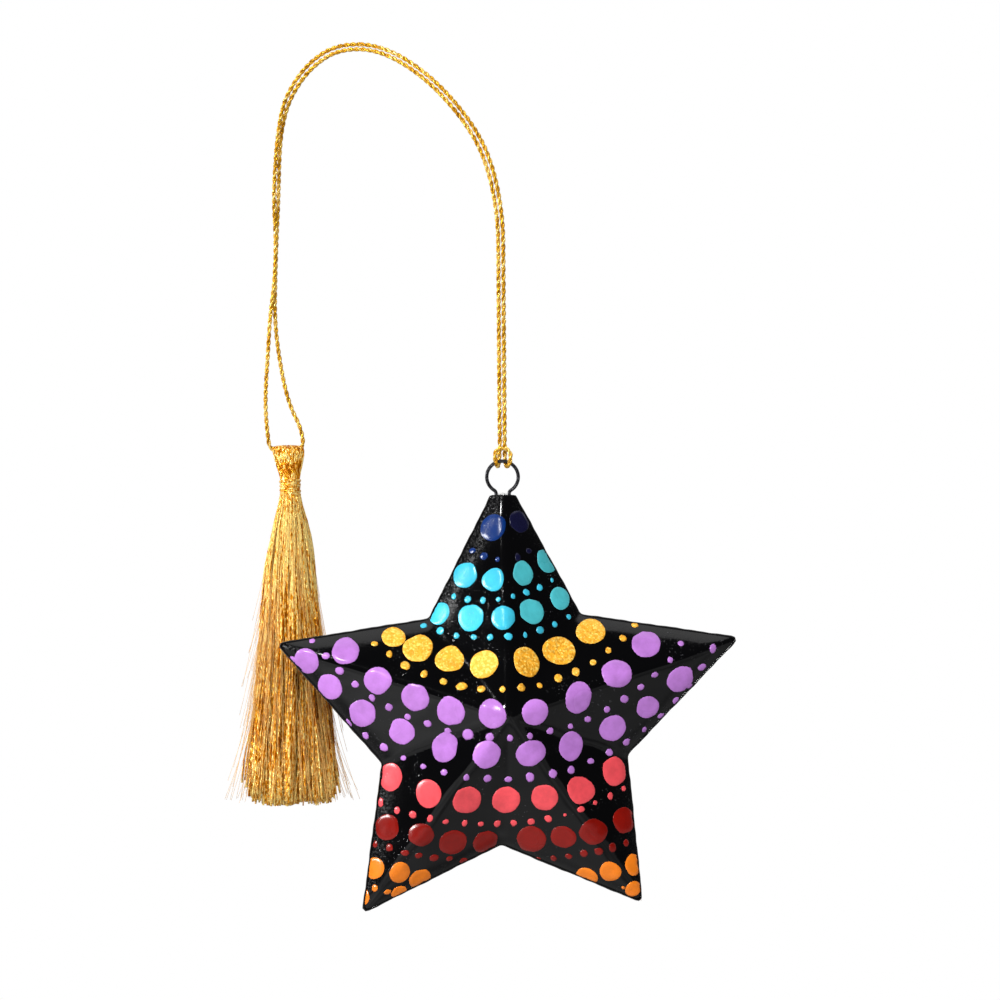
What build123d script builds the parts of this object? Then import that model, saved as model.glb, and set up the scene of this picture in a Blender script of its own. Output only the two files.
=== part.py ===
"""Hojalata tin star on a doubled cord, with a tassel at the cord's other end.

Millimetres, +Z up, the star's front faces -Y. The origin is the crown of the
cord's arch, where a hook or a hand holds the ornament.
"""

import math
import os

from build123d import *

# Star, both pressed halves
FACET_RISE = 9.6
SKIRT = 1.0
RIM_WALL = 0.5
RIM_SLOPE = 50
SHEET = 0.35
TIP_ROUND = 0.45
NOTCH_ROUND = 1.2
TIP_CUT = 3.6
SEAM_PROUD = 0.3
SEAM_HEIGHT = 0.9

# Reach of the hand-cut star's corners from its middle, from the top to the left
TOP_POINT = 40.3
UPPER_LEFT_NOTCH = 20.2
LEFT_POINT = 39.6
LOWER_LEFT_NOTCH = 21.8
LEFT_FOOT = 40.3
BOTTOM_NOTCH = 21.5
RIGHT_FOOT = 38.8
LOWER_RIGHT_NOTCH = 21.6
RIGHT_POINT = 41.4
UPPER_RIGHT_NOTCH = 20.9

# Corners, tips and notches in turn: reach, and turn from straight up in degrees
CORNERS = [
    (TOP_POINT, 0.0),
    (UPPER_LEFT_NOTCH, 37.9),
    (LEFT_POINT, 72.3),
    (LOWER_LEFT_NOTCH, 111.3),
    (LEFT_FOOT, 143.9),
    (BOTTOM_NOTCH, 178.0),
    (RIGHT_FOOT, 215.9),
    (LOWER_RIGHT_NOTCH, 251.4),
    (RIGHT_POINT, 287.5),
    (UPPER_RIGHT_NOTCH, 322.0),
]

# Hanger ring and the solder that holds it
WIRE_D = 0.6
WIRE_SIDES = 12
RING_R = 2.65
LEG_GAP = 2.2
RING_BEND_R = 0.65
LEG_LENGTH = 7.0
SOLDER_DEPTH = 1.6
SOLDER_PROUD = 0.25

# Cord
CORD_D = 0.8
CORD_SIDES = 8
STRAND_PITCH = 1.0
FALL_X = 24.2
FALL_Y = -11.0
FALL_TOP = -29.8
FALL_LENGTH = 38.7
SWING_GAP = 0.5
HITCH_HEIGHT = 2.9
WRAP_CLEAR = 0.3

# Tassel
EYE_X = -11.45
EYE_Y = 11.0
EYE_Z = -68.4
EYE_CLEAR = 0.15
EYE_SIDE_CLEAR = 0.25
HEAD_W = 5.5
HEAD_TOP = 1.2
HEAD_DROP = 4.7
NECK_R = 1.4
NECK_LENGTH = 2.85
BIND_D = 0.45
BIND_SIDES = 6
BIND_PITCH = 0.87
BIND_TURNS = 2.5
SKIRT_LENGTH = 53.0
HEM_R = 8.05
STRANDS = 300
STRAND_TOP_W = 0.09
STRAND_HEM_W = 0.44

# Routes of the cord, points chosen by hand, from the star's side to the tassel
ARCH_INNER = [
    (FALL_X - STRAND_PITCH / 2, FALL_Y, FALL_TOP),
    (21.8, -10.2, -20.4),
    (18.3, -8.0, -13.3),
    (11.9, -4.6, -5.4),
    (4.3, -1.2, 0.0),
    (-2.6, 2.2, 0.8),
    (-7.5, 5.6, -1.8),
    (-10.9, 8.4, -6.2),
]
ARCH_OUTER = [
    (FALL_X + STRAND_PITCH / 2, FALL_Y, FALL_TOP),
    (22.8, -10.2, -20.0),
    (19.1, -8.0, -12.6),
    (12.6, -4.6, -4.6),
    (4.7, -1.2, 1.0),
    (-2.9, 2.2, 1.85),
    (-8.3, 5.6, -1.0),
    (-12.0, 8.4, -6.2),
]
EYE_SIDE = HEAD_W / 2 + CORD_D / 2 + EYE_SIDE_CLEAR
LOOP = [
    (-11.15, 8.55, -6.2 - SWING_GAP),
    (-12.35, 10.05, -10.4),
    (-13.3, 10.95, -15.2),
    (-13.5, 11.1, -24.0),
    (-14.2, 11.35, -35.0),
    (-13.95, 11.2, -43.5),
    (-13.5, EYE_Y, -50.6),
    (-11.9, EYE_Y, EYE_Z + 9.0),
    (EYE_X + EYE_SIDE, EYE_Y, EYE_Z + 3.4),
    (EYE_X + EYE_SIDE, EYE_Y, EYE_Z),
    (EYE_X - EYE_SIDE, EYE_Y, EYE_Z),
    (EYE_X - EYE_SIDE - 0.15, EYE_Y, EYE_Z + 3.4),
    (-15.8, EYE_Y, EYE_Z + 9.0),
    (-15.2, EYE_Y, -50.6),
    (-14.9, 10.8, -43.5),
    (-14.9, 10.6, -35.0),
    (-14.55, 10.9, -24.0),
    (-14.0, 10.05, -15.2),
    (-13.05, 9.1, -10.4),
    (-12.25, 8.55, -6.2 - SWING_GAP),
]
EYE_FOLDS = {9: CORD_D, 10: CORD_D}

# Worked out from the sizes above
FACETS = len(CORNERS)
APEX = SKIRT + FACET_RISE
RING_TOP = FALL_TOP - FALL_LENGTH - HITCH_HEIGHT
BEND_DROP = math.sqrt((RING_R + RING_BEND_R) ** 2 - (LEG_GAP / 2 + RING_BEND_R) ** 2)
TIP_PLANE = TOP_POINT - TIP_CUT
RING_CENTRE = TIP_PLANE + BEND_DROP + SOLDER_PROUD
STAR_Z = RING_TOP - RING_R - RING_CENTRE
STAR_AT = Pos(FALL_X, FALL_Y, STAR_Z) * Rot(X=90)
TASSEL_AT = Pos(EYE_X, EYE_Y, EYE_Z)


def star_points(radius_scale):
    """Ten corners of the star, tips and notches in turn, first tip upwards."""
    points = []
    for reach, turn in CORNERS:
        angle = math.pi / 2 + math.radians(turn)
        points.append((radius_scale * reach * math.cos(angle), radius_scale * reach * math.sin(angle)))
    return points


def edge_distance():
    """Mean distance from the middle to the ten edges."""
    points = star_points(1)
    total = 0
    for k in range(FACETS):
        (x1, y1), (x2, y2) = points[k], points[(k + 1) % FACETS]
        total += (x1 * y2 - x2 * y1) / math.hypot(x2 - x1, y2 - y1)
    return total / FACETS


EDGE_D = edge_distance()
FACET_SLOPE = math.atan(FACET_RISE / EDGE_D)


def star_face(inset):
    """The star's outline moved inwards by inset, its corners rounded to suit."""
    radii = []
    for k in range(FACETS):
        radii.append(TIP_ROUND - inset if k % 2 == 0 else NOTCH_ROUND + inset)
    outline = FilletPolyline(*star_points(1 - inset / EDGE_D), radius=radii, close=True)
    return make_face(outline)


def roof(apex, rise):
    """Ten facets that fall by rise from an apex to the outline, and on below it."""
    reach = 1.35
    foot = apex - reach * rise
    ring = [(x, y, foot) for x, y in star_points(reach)]
    faces = [Face(Wire.make_polygon(ring))]
    for k in range(FACETS):
        faces.append(Face(Wire.make_polygon([(0, 0, apex), ring[k], ring[(k + 1) % FACETS]])))
    return Solid(Shell(faces))


def half_star(sheet, foot):
    """One closed half star between the plane z = foot and its facets.

    Its rim rolls over between the facets and a low upright wall, and the whole
    is moved inwards by the thickness sheet.
    """
    rim_slope = math.radians(RIM_SLOPE)
    rim_rise = EDGE_D * math.tan(rim_slope)
    facets = roof(APEX - sheet / math.cos(FACET_SLOPE), FACET_RISE)
    rim = roof(RIM_WALL + rim_rise - sheet / math.cos(rim_slope), rim_rise)
    prism = Pos(0, 0, foot) * extrude(star_face(sheet), amount=APEX - foot + SHEET)
    return prism & facets & rim


def above_tip():
    """Block over the cut top point."""
    side = 4 * TOP_POINT
    return Pos(0, TIP_PLANE + side / 2, 0) * Box(side, side, side)


def cavity_half():
    """Room inside one half, to the back of the sheet."""
    return half_star(SHEET, -SHEET)


def star_shell():
    """One pressed half of the star, open at the rim plane and at the cut point."""
    return half_star(0, 0) - cavity_half() - above_tip()


def seam_bead():
    """Solder round the rim, on the outside of both halves."""
    band = star_face(-SEAM_PROUD) - star_face(0)
    bead = Pos(0, 0, -SEAM_HEIGHT / 2) * extrude(band, amount=SEAM_HEIGHT)
    return bead - above_tip()


def ring_wire():
    """Ring with two legs: one wire in the star's plane."""
    centre = (0, RING_CENTRE)
    side = LEG_GAP / 2 + RING_BEND_R
    leg_top = RING_CENTRE - BEND_DROP
    meet = math.degrees(math.atan2(BEND_DROP, side))
    right_leg = Line((LEG_GAP / 2, leg_top - LEG_LENGTH), (LEG_GAP / 2, leg_top))
    right_bend = CenterArc((side, leg_top), RING_BEND_R, 180, -meet)
    loop = CenterArc(centre, RING_R, -meet, 180 + 2 * meet)
    left_bend = CenterArc((-side, leg_top), RING_BEND_R, meet, -meet)
    left_leg = Line((-LEG_GAP / 2, leg_top), (-LEG_GAP / 2, leg_top - LEG_LENGTH))
    path = Wire([right_leg, right_bend, loop, left_bend, left_leg])
    return sweep((path ^ 0) * RegularPolygon(WIRE_D / 2, WIRE_SIDES), path=path)


def solder_plug(wire):
    """Solder that fills the cut point round the two legs."""
    room = cavity_half()
    room = room + mirror(room, about=Plane.XY)
    slab = Box(LEG_GAP * 4, SOLDER_DEPTH, APEX)
    inside = room & (Pos(0, TIP_PLANE - SOLDER_DEPTH / 2, 0) * slab)
    cap_w = LEG_GAP - WIRE_D
    cap = Box(cap_w, SOLDER_PROUD, 2 * WIRE_D + SHEET)
    top = Pos(0, TIP_PLANE + SOLDER_PROUD / 2, 0) * cap
    return inside + top - wire


def corner_radii(points, folds):
    """Arc radius at each inner point: 0.45 of the shorter run over tan(turn / 2).

    folds gives the most that the radius may be, by the point's index.
    """
    radii = []
    for k in range(1, len(points) - 1):
        before = Vector(*points[k]) - Vector(*points[k - 1])
        after = Vector(*points[k + 1]) - Vector(*points[k])
        half_turn = math.radians(before.get_angle(after)) / 2
        radius = 0.45 * min(before.length, after.length) / math.tan(half_turn)
        radii.append(min(radius, folds.get(k, radius)))
    return radii


def cord(name, points, folds):
    """Eight-sided tube along straight runs and tangent arcs."""
    radii = corner_radii(points, folds)
    path = FilletPolyline(*points, radius=radii)
    section = RegularPolygon(CORD_D / 2, CORD_SIDES)
    tube = sweep((path ^ 0) * section, path=path)
    plain = section.area * path.length
    tight = min(radii)
    print(f"{name}: {path.length:.1f} mm, least arc {tight:.2f} mm, volume {tube.volume / plain:.3f}")
    return tube


def fall(side):
    """One straight strand from the arch down to the hitch."""
    length = FALL_LENGTH - SWING_GAP
    foot = Pos(FALL_X + side * STRAND_PITCH / 2, FALL_Y, FALL_TOP - FALL_LENGTH)
    print(f"cord fall: {length:.1f} mm")
    return foot * extrude(RegularPolygon(CORD_D / 2, CORD_SIDES), amount=length)


def hitch():
    """Lark's head: down behind the wire, under it, up in front and across."""
    strand = STRAND_PITCH / 2
    wrap = WIRE_D / 2 + WRAP_CLEAR + CORD_D / 2
    low = -wrap - WRAP_CLEAR / 2
    bar = wrap + WRAP_CLEAR
    front = -0.85 * wrap
    half = [
        (-strand, 0, HITCH_HEIGHT),
        (-strand, 0, HITCH_HEIGHT - 0.7 * CORD_D),
        (-strand - 0.15 * CORD_D, wrap, 0.6 * wrap),
        (-strand - 0.2 * CORD_D, wrap, low),
        (-strand - 0.4 * CORD_D, -wrap, low),
        (-strand - 0.5 * CORD_D, front, bar),
    ]
    other = [(-x, y, z) for x, y, z in reversed(half)]
    points = [(FALL_X + x, FALL_Y + y, RING_TOP + z) for x, y, z in half + other]
    return cord("cord_hitch", points, {k: 0.9 * wrap for k in range(len(points))})


def tassel_head():
    """Folded threads over the cord, from the fold down to the neck."""
    neck = 2 * (NECK_R + BIND_D / 2)
    sections = [
        (-HEAD_DROP, neck, neck, 0.48),
        (-0.75 * HEAD_DROP, 0.9 * neck + 0.1 * HEAD_W, neck, 0.48),
        (-0.5 * HEAD_DROP, 0.6 * neck + 0.4 * HEAD_W, 1.03 * neck, 0.46),
        (-0.25 * HEAD_DROP, 0.2 * neck + 0.8 * HEAD_W, 1.02 * neck, 0.44),
        (0, HEAD_W, 0.97 * neck, 0.42),
        (0.5 * HEAD_TOP, HEAD_W, 0.82 * neck, 0.42),
        (0.85 * HEAD_TOP, 0.95 * HEAD_W, 0.56 * neck, 0.42),
        (HEAD_TOP, 0.86 * HEAD_W, 0.26 * neck, 0.40),
    ]
    faces = []
    for z, wide, deep, corner in sections:
        faces.append(Pos(0, 0, z) * RectangleRounded(wide, deep, corner * min(wide, deep)))
    eye = Rot(Y=90) * Cylinder(CORD_D / 2 + EYE_CLEAR, 2 * HEAD_W)
    return loft(faces, ruled=True) - eye


def biarc(start, end, start_way, end_way):
    """Two arcs from start to end that keep both directions."""
    span = end - start
    ways = start_way + end_way
    a = ways.dot(ways) - 4
    b = -2 * span.dot(ways)
    c = span.dot(span)
    reach = (-b - math.sqrt(b * b - 4 * a * c)) / (2 * a)
    middle = (start + start_way * reach + end - end_way * reach) * 0.5
    first = TangentArc(start, middle, tangent=start_way)
    return [first, TangentArc(middle, end, tangent=first % 1)]


def helix_at(turn):
    """Point and direction of the binding's helix after so many turns."""
    r = NECK_R + BIND_D / 2 + 0.05
    angle = 2 * math.pi * turn
    top = -HEAD_DROP - BIND_D / 2 - 0.05
    point = Vector(r * math.cos(angle), r * math.sin(angle), top - BIND_PITCH * turn)
    rise = -BIND_PITCH / (2 * math.pi)
    return point, Vector(-r * math.sin(angle), r * math.cos(angle), rise).normalized()


def binding():
    """One unbroken thread wound round the neck."""
    edges = []
    quarters = round(4 * BIND_TURNS)
    for k in range(quarters):
        start, start_way = helix_at(k / 4)
        end, end_way = helix_at((k + 1) / 4)
        edges += biarc(start, end, start_way, end_way)
    path = Wire(edges)
    marks = [path @ (i / 200) for i in range(201)]
    apart = round(200 / BIND_TURNS * 0.5)
    gaps = []
    for i in range(201):
        for j in range(i + apart, 201):
            gaps.append((marks[i] - marks[j]).length)
    print(f"tassel_binding: {path.length:.1f} mm, least gap to itself {min(gaps) - BIND_D:.2f} mm")
    return sweep((path ^ 0) * RegularPolygon(BIND_D / 2, BIND_SIDES), path=path)


def strand(k):
    """One tapered strand of the skirt on a sunflower layout."""
    reach = math.sqrt((k + 0.5) / STRANDS)
    angle = k * math.pi * (3 - math.sqrt(5))
    way_x = reach * math.cos(angle)
    way_y = reach * math.sin(angle)
    top = -HEAD_DROP - 0.8 * NECK_LENGTH
    hem = -HEAD_DROP - NECK_LENGTH - SKIRT_LENGTH
    inner = (NECK_R - STRAND_TOP_W) * 0.98
    rings = []
    for z, spread, wide in ((top, inner, STRAND_TOP_W), (hem, HEM_R, STRAND_HEM_W)):
        x = spread * way_x
        y = spread * way_y
        h = wide / 2
        rings.append([(x - h, y - h, z), (x + h, y - h, z), (x + h, y + h, z), (x - h, y + h, z)])
    upper, lower = rings
    faces = [Face(Wire.make_polygon(upper)), Face(Wire.make_polygon(lower))]
    for i in range(4):
        j = (i + 1) % 4
        faces.append(Face(Wire.make_polygon([upper[i], upper[j], lower[j], lower[i]])))
    return Solid(Shell(faces))


def tassel_skirt():
    """Loose threads, joined to a slice of the bound neck."""
    neck = Pos(0, 0, -HEAD_DROP - NECK_LENGTH / 2) * Cylinder(NECK_R, NECK_LENGTH)
    return neck.fuse(*[strand(k) for k in range(STRANDS)])


def main():
    """Build every piece in its place and write one STEP file for each."""
    shell = star_shell()
    wire = ring_wire()
    pieces = {
        "star_front_shell": STAR_AT * shell,
        "star_back_shell": STAR_AT * mirror(shell, about=Plane.XY),
        "rim_seam_bead": STAR_AT * seam_bead(),
        "hanger_ring": STAR_AT * wire,
        "tip_solder": STAR_AT * solder_plug(wire),
        "cord_hitch": hitch(),
        "cord_fall_left": fall(-1),
        "cord_fall_right": fall(1),
        "cord_arch_inner": cord("cord_arch_inner", ARCH_INNER, {}),
        "cord_arch_outer": cord("cord_arch_outer", ARCH_OUTER, {}),
        "cord_tassel_loop": cord("cord_tassel_loop", LOOP, EYE_FOLDS),
        "tassel_head": TASSEL_AT * tassel_head(),
        "tassel_binding": TASSEL_AT * binding(),
        "tassel_skirt": TASSEL_AT * tassel_skirt(),
    }
    os.makedirs("parts", exist_ok=True)
    for name, piece in pieces.items():
        export_step(piece, f"parts/{name}.step")
        box = piece.bounding_box()
        print(f"{name}: {piece.volume:.2f} mm3, valid {piece.is_valid}, solids {len(piece.solids())}")
        print(f"  x {box.min.X:.2f} {box.max.X:.2f}  y {box.min.Y:.2f} {box.max.Y:.2f}")
        print(f"  z {box.min.Z:.2f} {box.max.Z:.2f}")


main()
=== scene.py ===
import math

import bpy
import numpy as np
from bpy.props import FloatProperty, FloatVectorProperty, IntProperty, PointerProperty
from mathutils import Matrix, Vector


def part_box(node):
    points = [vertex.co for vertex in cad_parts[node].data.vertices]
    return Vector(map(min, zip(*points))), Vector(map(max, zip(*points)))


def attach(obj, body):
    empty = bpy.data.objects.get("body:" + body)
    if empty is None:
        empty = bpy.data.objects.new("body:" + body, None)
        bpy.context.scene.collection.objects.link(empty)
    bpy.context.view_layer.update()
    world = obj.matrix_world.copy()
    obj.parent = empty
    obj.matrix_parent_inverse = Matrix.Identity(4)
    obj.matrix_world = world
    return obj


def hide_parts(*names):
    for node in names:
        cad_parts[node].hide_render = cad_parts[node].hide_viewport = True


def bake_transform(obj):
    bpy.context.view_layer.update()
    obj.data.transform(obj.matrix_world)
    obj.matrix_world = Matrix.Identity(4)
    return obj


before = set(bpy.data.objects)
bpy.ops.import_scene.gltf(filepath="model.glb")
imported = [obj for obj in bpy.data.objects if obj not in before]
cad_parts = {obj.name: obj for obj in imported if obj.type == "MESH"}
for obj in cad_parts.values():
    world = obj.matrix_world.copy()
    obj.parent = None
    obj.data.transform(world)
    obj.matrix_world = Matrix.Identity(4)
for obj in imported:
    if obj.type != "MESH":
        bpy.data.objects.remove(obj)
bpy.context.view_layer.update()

bl_info = {
    "name": "Tin Star Ornament",
    "version": (1, 0, 0),
    "blender": (4, 5, 0),
    "location": "View3D > Sidebar > Ornament",
    "description": "Dresses the packed tin star with its paint, cord and tassel",
    "category": "Add Mesh",
}

# Lengths below are in millimetres; add_piece turns them into metres.
MM = 0.001
GOLDEN = math.pi * (3 - math.sqrt(5))

# Places of the CAD pieces, from the frame
SHELL_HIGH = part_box("star_front_shell")[1]
HEAD_LOW, HEAD_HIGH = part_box("tassel_head")
RIM_Y = SHELL_HIGH.y / MM
CUT_Z = SHELL_HIGH.z / MM
TASSEL_X = (HEAD_LOW.x + HEAD_HIGH.x) / 2 / MM
TASSEL_Y = (HEAD_LOW.y + HEAD_HIGH.y) / 2 / MM
HEAD_TOP_Z = HEAD_HIGH.z / MM
NECK_TOP_Z = HEAD_LOW.z / MM
NECK_LENGTH = 2.85
NECK_END_Z = NECK_TOP_Z - NECK_LENGTH
HEM_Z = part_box("tassel_skirt")[0].z / MM

# Corners of the hand-cut star, tips and notches in turn from the top point to
# the left: reach from the middle and turn from straight up, in degrees
CORNERS = np.array([
    (40.3, 0.0), (20.2, 37.9), (39.6, 72.3), (21.8, 111.3), (40.3, 143.9),
    (21.5, 178.0), (38.8, 215.9), (21.6, 251.4), (41.4, 287.5), (20.9, 322.0),
])

# Mesh of a half star: points round it, rows from the middle to the rim, the
# first row's scale, how much closer the rows lie at the rim, points of a
# rounded corner, and heights of the rim's wall
OUTLINE_POINTS, HALF_ROWS, FIRST_ROW, ROW_POWER = 520, 64, 0.02, 1.35
ARC_POINTS = 9
WALL_SHARES = np.array([0.5, 0.0])[:, None]
# Spots averaged to round a crease, the furthest part of the rim's roll, the
# width over which dents fade out, and the step for slopes
DISC_SPOTS, ROLL_END, DENT_FADE, SLOPE_STEP = 26, 1.3, 4.0, 0.15
# Dents: size, and for each of two sines the waves along u, along v and the phase
DENT_WAVES = [
    (1.0, (0.31, 0.17, 0.6), (-0.13, 0.27, 1.9)),
    (0.5, (0.61, -0.35, 0.0), (0.2, 0.55, 0.0)),
]
# Wear: its reach in from the rim, and its amount and reach at the apex
RIM_WEAR, APEX_WEAR, APEX_REACH = 4.5, 1.2, 0.9
# Solder bead: sides, share of its full reach, reach inwards, and swells as
# size, waves round the star and phase
BEAD_SIDES, BEAD_SHARE, BEAD_INWARD = 12, 0.8, 0.15
BEAD_SWELLS = [(0.12, 23, 0.0), (0.1, 61, 1.0), (0.08, 113, 0.0)]
# Solder dome: sides, rows, depth to width, and how far it sinks into the plug
DOME_SIDES, DOME_ROWS, DOME_DEPTH, DOME_SUNK = 24, 6, 0.85, 0.1

# Rows of dots, each an arc that is lowest in the middle: paint, height of the
# lowest point, its side shift, radius of the arc, pitch along it, radius of a
# dot, the place of the row's first dot, and how many more dots go left and right.
DOT_ROWS = [
    ("blue", 31.1, 0.0, 60, 4.5, 2.4, -1.8, 0, 0),
    ("navy", 32.2, 0.0, 60, 4.5, 2.0, 2.7, 0, 0),
    ("blue", 25.9, -0.4, 9, 2.2, 0.65, -1.2, 2, 0),
    ("navy", 25.9, -0.4, 9, 2.2, 0.6, 2.2, 0, 1),
    ("cyan", 22.55, -2.2, 15.5, 4.8, 2.15, -1.8, 1, 0),
    ("teal", 22.55, -2.2, 15.5, 4.8, 2.15, 2.9, 0, 1),
    ("cyan", 19.1, -4.0, 24, 2.45, 0.6, -1.2, 14, 14),
    ("cyan", 16.1, -3.8, 29, 5.2, 2.1, -0.5, 2, 0),
    ("teal", 16.1, -3.8, 29, 5.2, 2.1, 4.6, 0, 1),
    ("cyan", 12.7, -2.5, 27, 2.8, 0.65, 0.2, 14, 14),
    ("gold", 8.5, -1.95, 29, 5.65, 2.5, -3.6, 2, 0),
    ("gold", 8.0, -1.95, 29, 5.65, 2.05, -18.6, 0, 0),
    ("gold", 8.5, -1.95, 29, 6.35, 2.5, 2.85, 0, 2),
    ("gold", 4.4, -1.3, 31, 3.25, 0.7, -1.0, 14, 14),
    ("purple", 0.1, -1.65, 34, 6.65, 2.5, -2.7, 4, 0),
    ("purple", 0.1, -1.65, 34, 7.6, 2.5, 4.4, 0, 3),
    ("purple", -3.5, -0.7, 38, 3.4, 0.75, 0.3, 14, 14),
    ("purple", -6.4, -0.15, 42, 7.15, 2.35, -3.4, 4, 5),
    ("purple", -6.9, -0.15, 42, 7.15, 2.2, -33.2, 0, 0),
    ("purple", -10.5, -0.5, 40.5, 3.55, 0.7, 0.2, 14, 14),
    ("coral", -14.3, -1.25, 43, 6.4, 2.4, -0.3, 3, 3),
    ("coral", -18.1, -2.5, 47, 2.8, 0.65, 1.2, 14, 14),
    ("dark_red", -21.1, -1.15, 68, 5.5, 2.3, -3.5, 4, 0),
    ("dark_red", -21.1, -1.15, 68, 5.4, 2.3, 3.9, 0, 3),
    ("dark_red", -24.5, 0.0, 70, 2.5, 0.75, -12.0, 14, 14),
    ("orange", -28.4, 0.0, 75, 3.9, 1.95, -14.1, 3, 0),
    ("orange", -28.3, 0.0, 75, 4.0, 1.95, 13.6, 0, 3),
    ("orange", -31.7, 0.0, 75, 2.2, 0.6, 0.0, 14, 14),
    ("orange", -34.0, 0.0, 75, 4.0, 1.5, 0.0, 14, 14),
    ("orange", -31.4, 0.0, 75, 4.0, 1.4, -17.9, 0, 0),
    ("orange", -32.1, 0.0, 75, 4.0, 1.4, 21.2, 0, 0),
]
PAINTS = ("blue", "navy", "cyan", "teal", "gold", "purple", "coral", "dark_red", "orange")
# A dot past this radius is big. For big and small dots: sides, rings as shares
# of the radius, wobble of the edge, stretch, and spread of the radius
BIG_DOT = 1.0
BIG_MAKE = (22, [0.32, 0.64, 0.93, 1.0], 0.05, 0.03, 0.045)
SMALL_MAKE = (10, [0.6, 1.0], 0.1, 0.07, 0.16)
EDGE_WAVES = np.arange(2, 9)
# Slip of the hand as a share of the radius and as a length, the arc's end in
# radians, and how far over the rim and under the cut a dot may start
SLIP_SHARE, SLIP, ARC_END, OVERHANG, UNDER_CUT = 0.05, 0.06, 1.35, 0.25, 0.4
# Paint: power of its rounded edge, how far it sinks in, depth of its hidden
# base, the least height over the rim plane, and the gap to the cut point
EDGE_POWER, SUNK, BASE_DEPTH, LEAST_HEIGHT, CUT_GAP = 30, 0.02, 0.3, 0.1, 0.02
# Colours that no setting holds: dust on the lacquer, flakes in the gold, wire
# and solder; and how much deeper thick paint and the hairs' roots are
DUST, FLAKE = (0.05, 0.05, 0.055), (1.0, 0.68, 0.14)
WIRE_DARK, WIRE_WORN = (0.012, 0.012, 0.014), (0.10, 0.10, 0.11)
SOLDER_GREY, SOLDER_PALE = (0.5, 0.5, 0.51), (0.9, 0.9, 0.88)
PAINT_DEEP, HAIR_DEEP = 0.62, 0.7

# The cord's route, given points close to those in the part's source
FALL_X, FALL_Y, FALL_HEIGHTS = 24.2, -11.0, (-29.8, -39.5, -63.5)
HALF_PITCH, RING_TOP = 0.5, -71.4
EYE_X, EYE_Y, EYE_Z = -11.45, 11.0, -68.4
STAR_SIDE_INNER = [
    (0.85, 0.5, 0.4), (4.3, -1.2, 0.0), (11.9, -4.6, -5.4), (18.3, -8.0, -13.3),
    (21.8, -10.2, -20.4), *((FALL_X - HALF_PITCH, FALL_Y, z) for z in FALL_HEIGHTS),
]
STAR_SIDE_OUTER = [
    (0.9, 0.5, 1.42), (4.7, -1.2, 1.0), (12.6, -4.6, -4.6), (19.1, -8.0, -12.6),
    (22.8, -10.2, -20.0), *((FALL_X + HALF_PITCH, FALL_Y, z) for z in FALL_HEIGHTS),
]
# Half of the hitch, from the top of the ring's wire
HITCH_HALF = [
    (-0.4, 0.0, 3.6), (-0.4, 0.0, 2.3), (-0.45, 0.7, 0.95), (-0.6, 1.05, -0.82),
    (-1.0, -1.0, -0.85), (-1.42, -1.12, 0.8), (-0.95, -0.75, 2.05),
]
# The tassel's two strands, both from the crown to the eye
TASSEL_INNER = [
    (0.85, 0.5, 0.4), (-2.6, 2.2, 0.8), (-7.5, 5.6, -1.8), (-10.9, 8.4, -6.2),
    (-12.35, 10.05, -10.4), (-13.0, 10.95, -15.2), (-13.2, 11.1, -24.0),
    (-13.65, 11.5, -31.0), (-13.9, 11.5, -38.5),
    (-13.95, 11.2, -44.5), (-13.5, EYE_Y, -50.6), (-11.9, EYE_Y, EYE_Z + 9.0),
    (EYE_X + 2.2, EYE_Y, EYE_Z + 3.6), (EYE_X + 2.3, EYE_Y, EYE_Z),
]
TASSEL_OUTER = [
    (0.9, 0.5, 1.42), (-2.9, 2.2, 1.85), (-8.3, 5.6, -1.0), (-12.0, 8.4, -6.2),
    (-13.05, 9.1, -10.4), (-13.7, 10.05, -15.2), (-14.25, 10.9, -24.0),
    (-13.75, 10.5, -31.0), (-14.0, 10.5, -38.5),
    (-14.9, 10.8, -44.5), (-15.2, EYE_Y, -50.6), (-15.8, EYE_Y, EYE_Z + 9.0),
    (EYE_X - 3.9, EYE_Y, EYE_Z + 2.8), (EYE_X - 3.4, EYE_Y, EYE_Z),
]
# Share of the strands' pitch that is left where they lie together, and the
# point from which the tassel's two strands part
TOUCHING, TASSEL_PARTS = 0.84, 10
# Where each side swings, and how far over and under that the cord would bend; the cord is neither
# swung nor bent here
STAR_PIVOT, TASSEL_PIVOT, BEND_REACH = (24.2, -11.0, -30.05), (-11.55, 8.5, -6.45), 4.0
# Steps along the cord, points of a spline piece, sides of a ply, its place,
# width and thickness as shares of the cord, shift of the second ply's film,
# and a direction that the cord never takes
CORD_STEP, SPLINE_POINTS, PLY_SIDES = 0.16, 24, 8
PLY_PLACE, PLY_WIDTH, PLY_THICKNESS, PLY_SHIFT = 0.25, 0.5, 0.56, 7.3
ACROSS_CORD = np.array([0.6, 0.8, 0.0])

# Tassel head: layers as share of the width, share of the depth and how far
# under the top the loops end; lean of the head; stations, width, thickness and
# sides of a loop; how far it goes under the neck's top
HEAD_LAYERS = [(1.0, 1.0, 0.12), (0.86, 0.86, 0.43), (0.95, 0.52, 1.85), (0.92, 0.2, 1.9)]
HEAD_LEAN = 0.3
LOOP_STATIONS, LOOP_WIDTH, LOOP_THICKNESS, LOOP_SIDES, LOOP_UNDER = 31, 0.34, 0.3, 6, 2.0
# Loops: the outermost ones' place and their slip, bend over the top, narrowing over
# the neck and the length it takes, room at the sides and at front and back, least
# depth, steepness over the top, wave, and sag at the sides
LOOP_SPAN, LOOP_SLIP, LOOP_BEND, NECK_NARROW, NECK_EASE = 0.95, 0.012, 2.6, 0.82, 1.4
ROOM_WIDE, ROOM_DEEP, LEAST_BOW, TOP_STEEP = 0.18, 0.15, 0.06, 10
LOOP_WAVE, LOOP_WAVES, LOOP_SAG = 0.03, 3, 0.25
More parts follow.
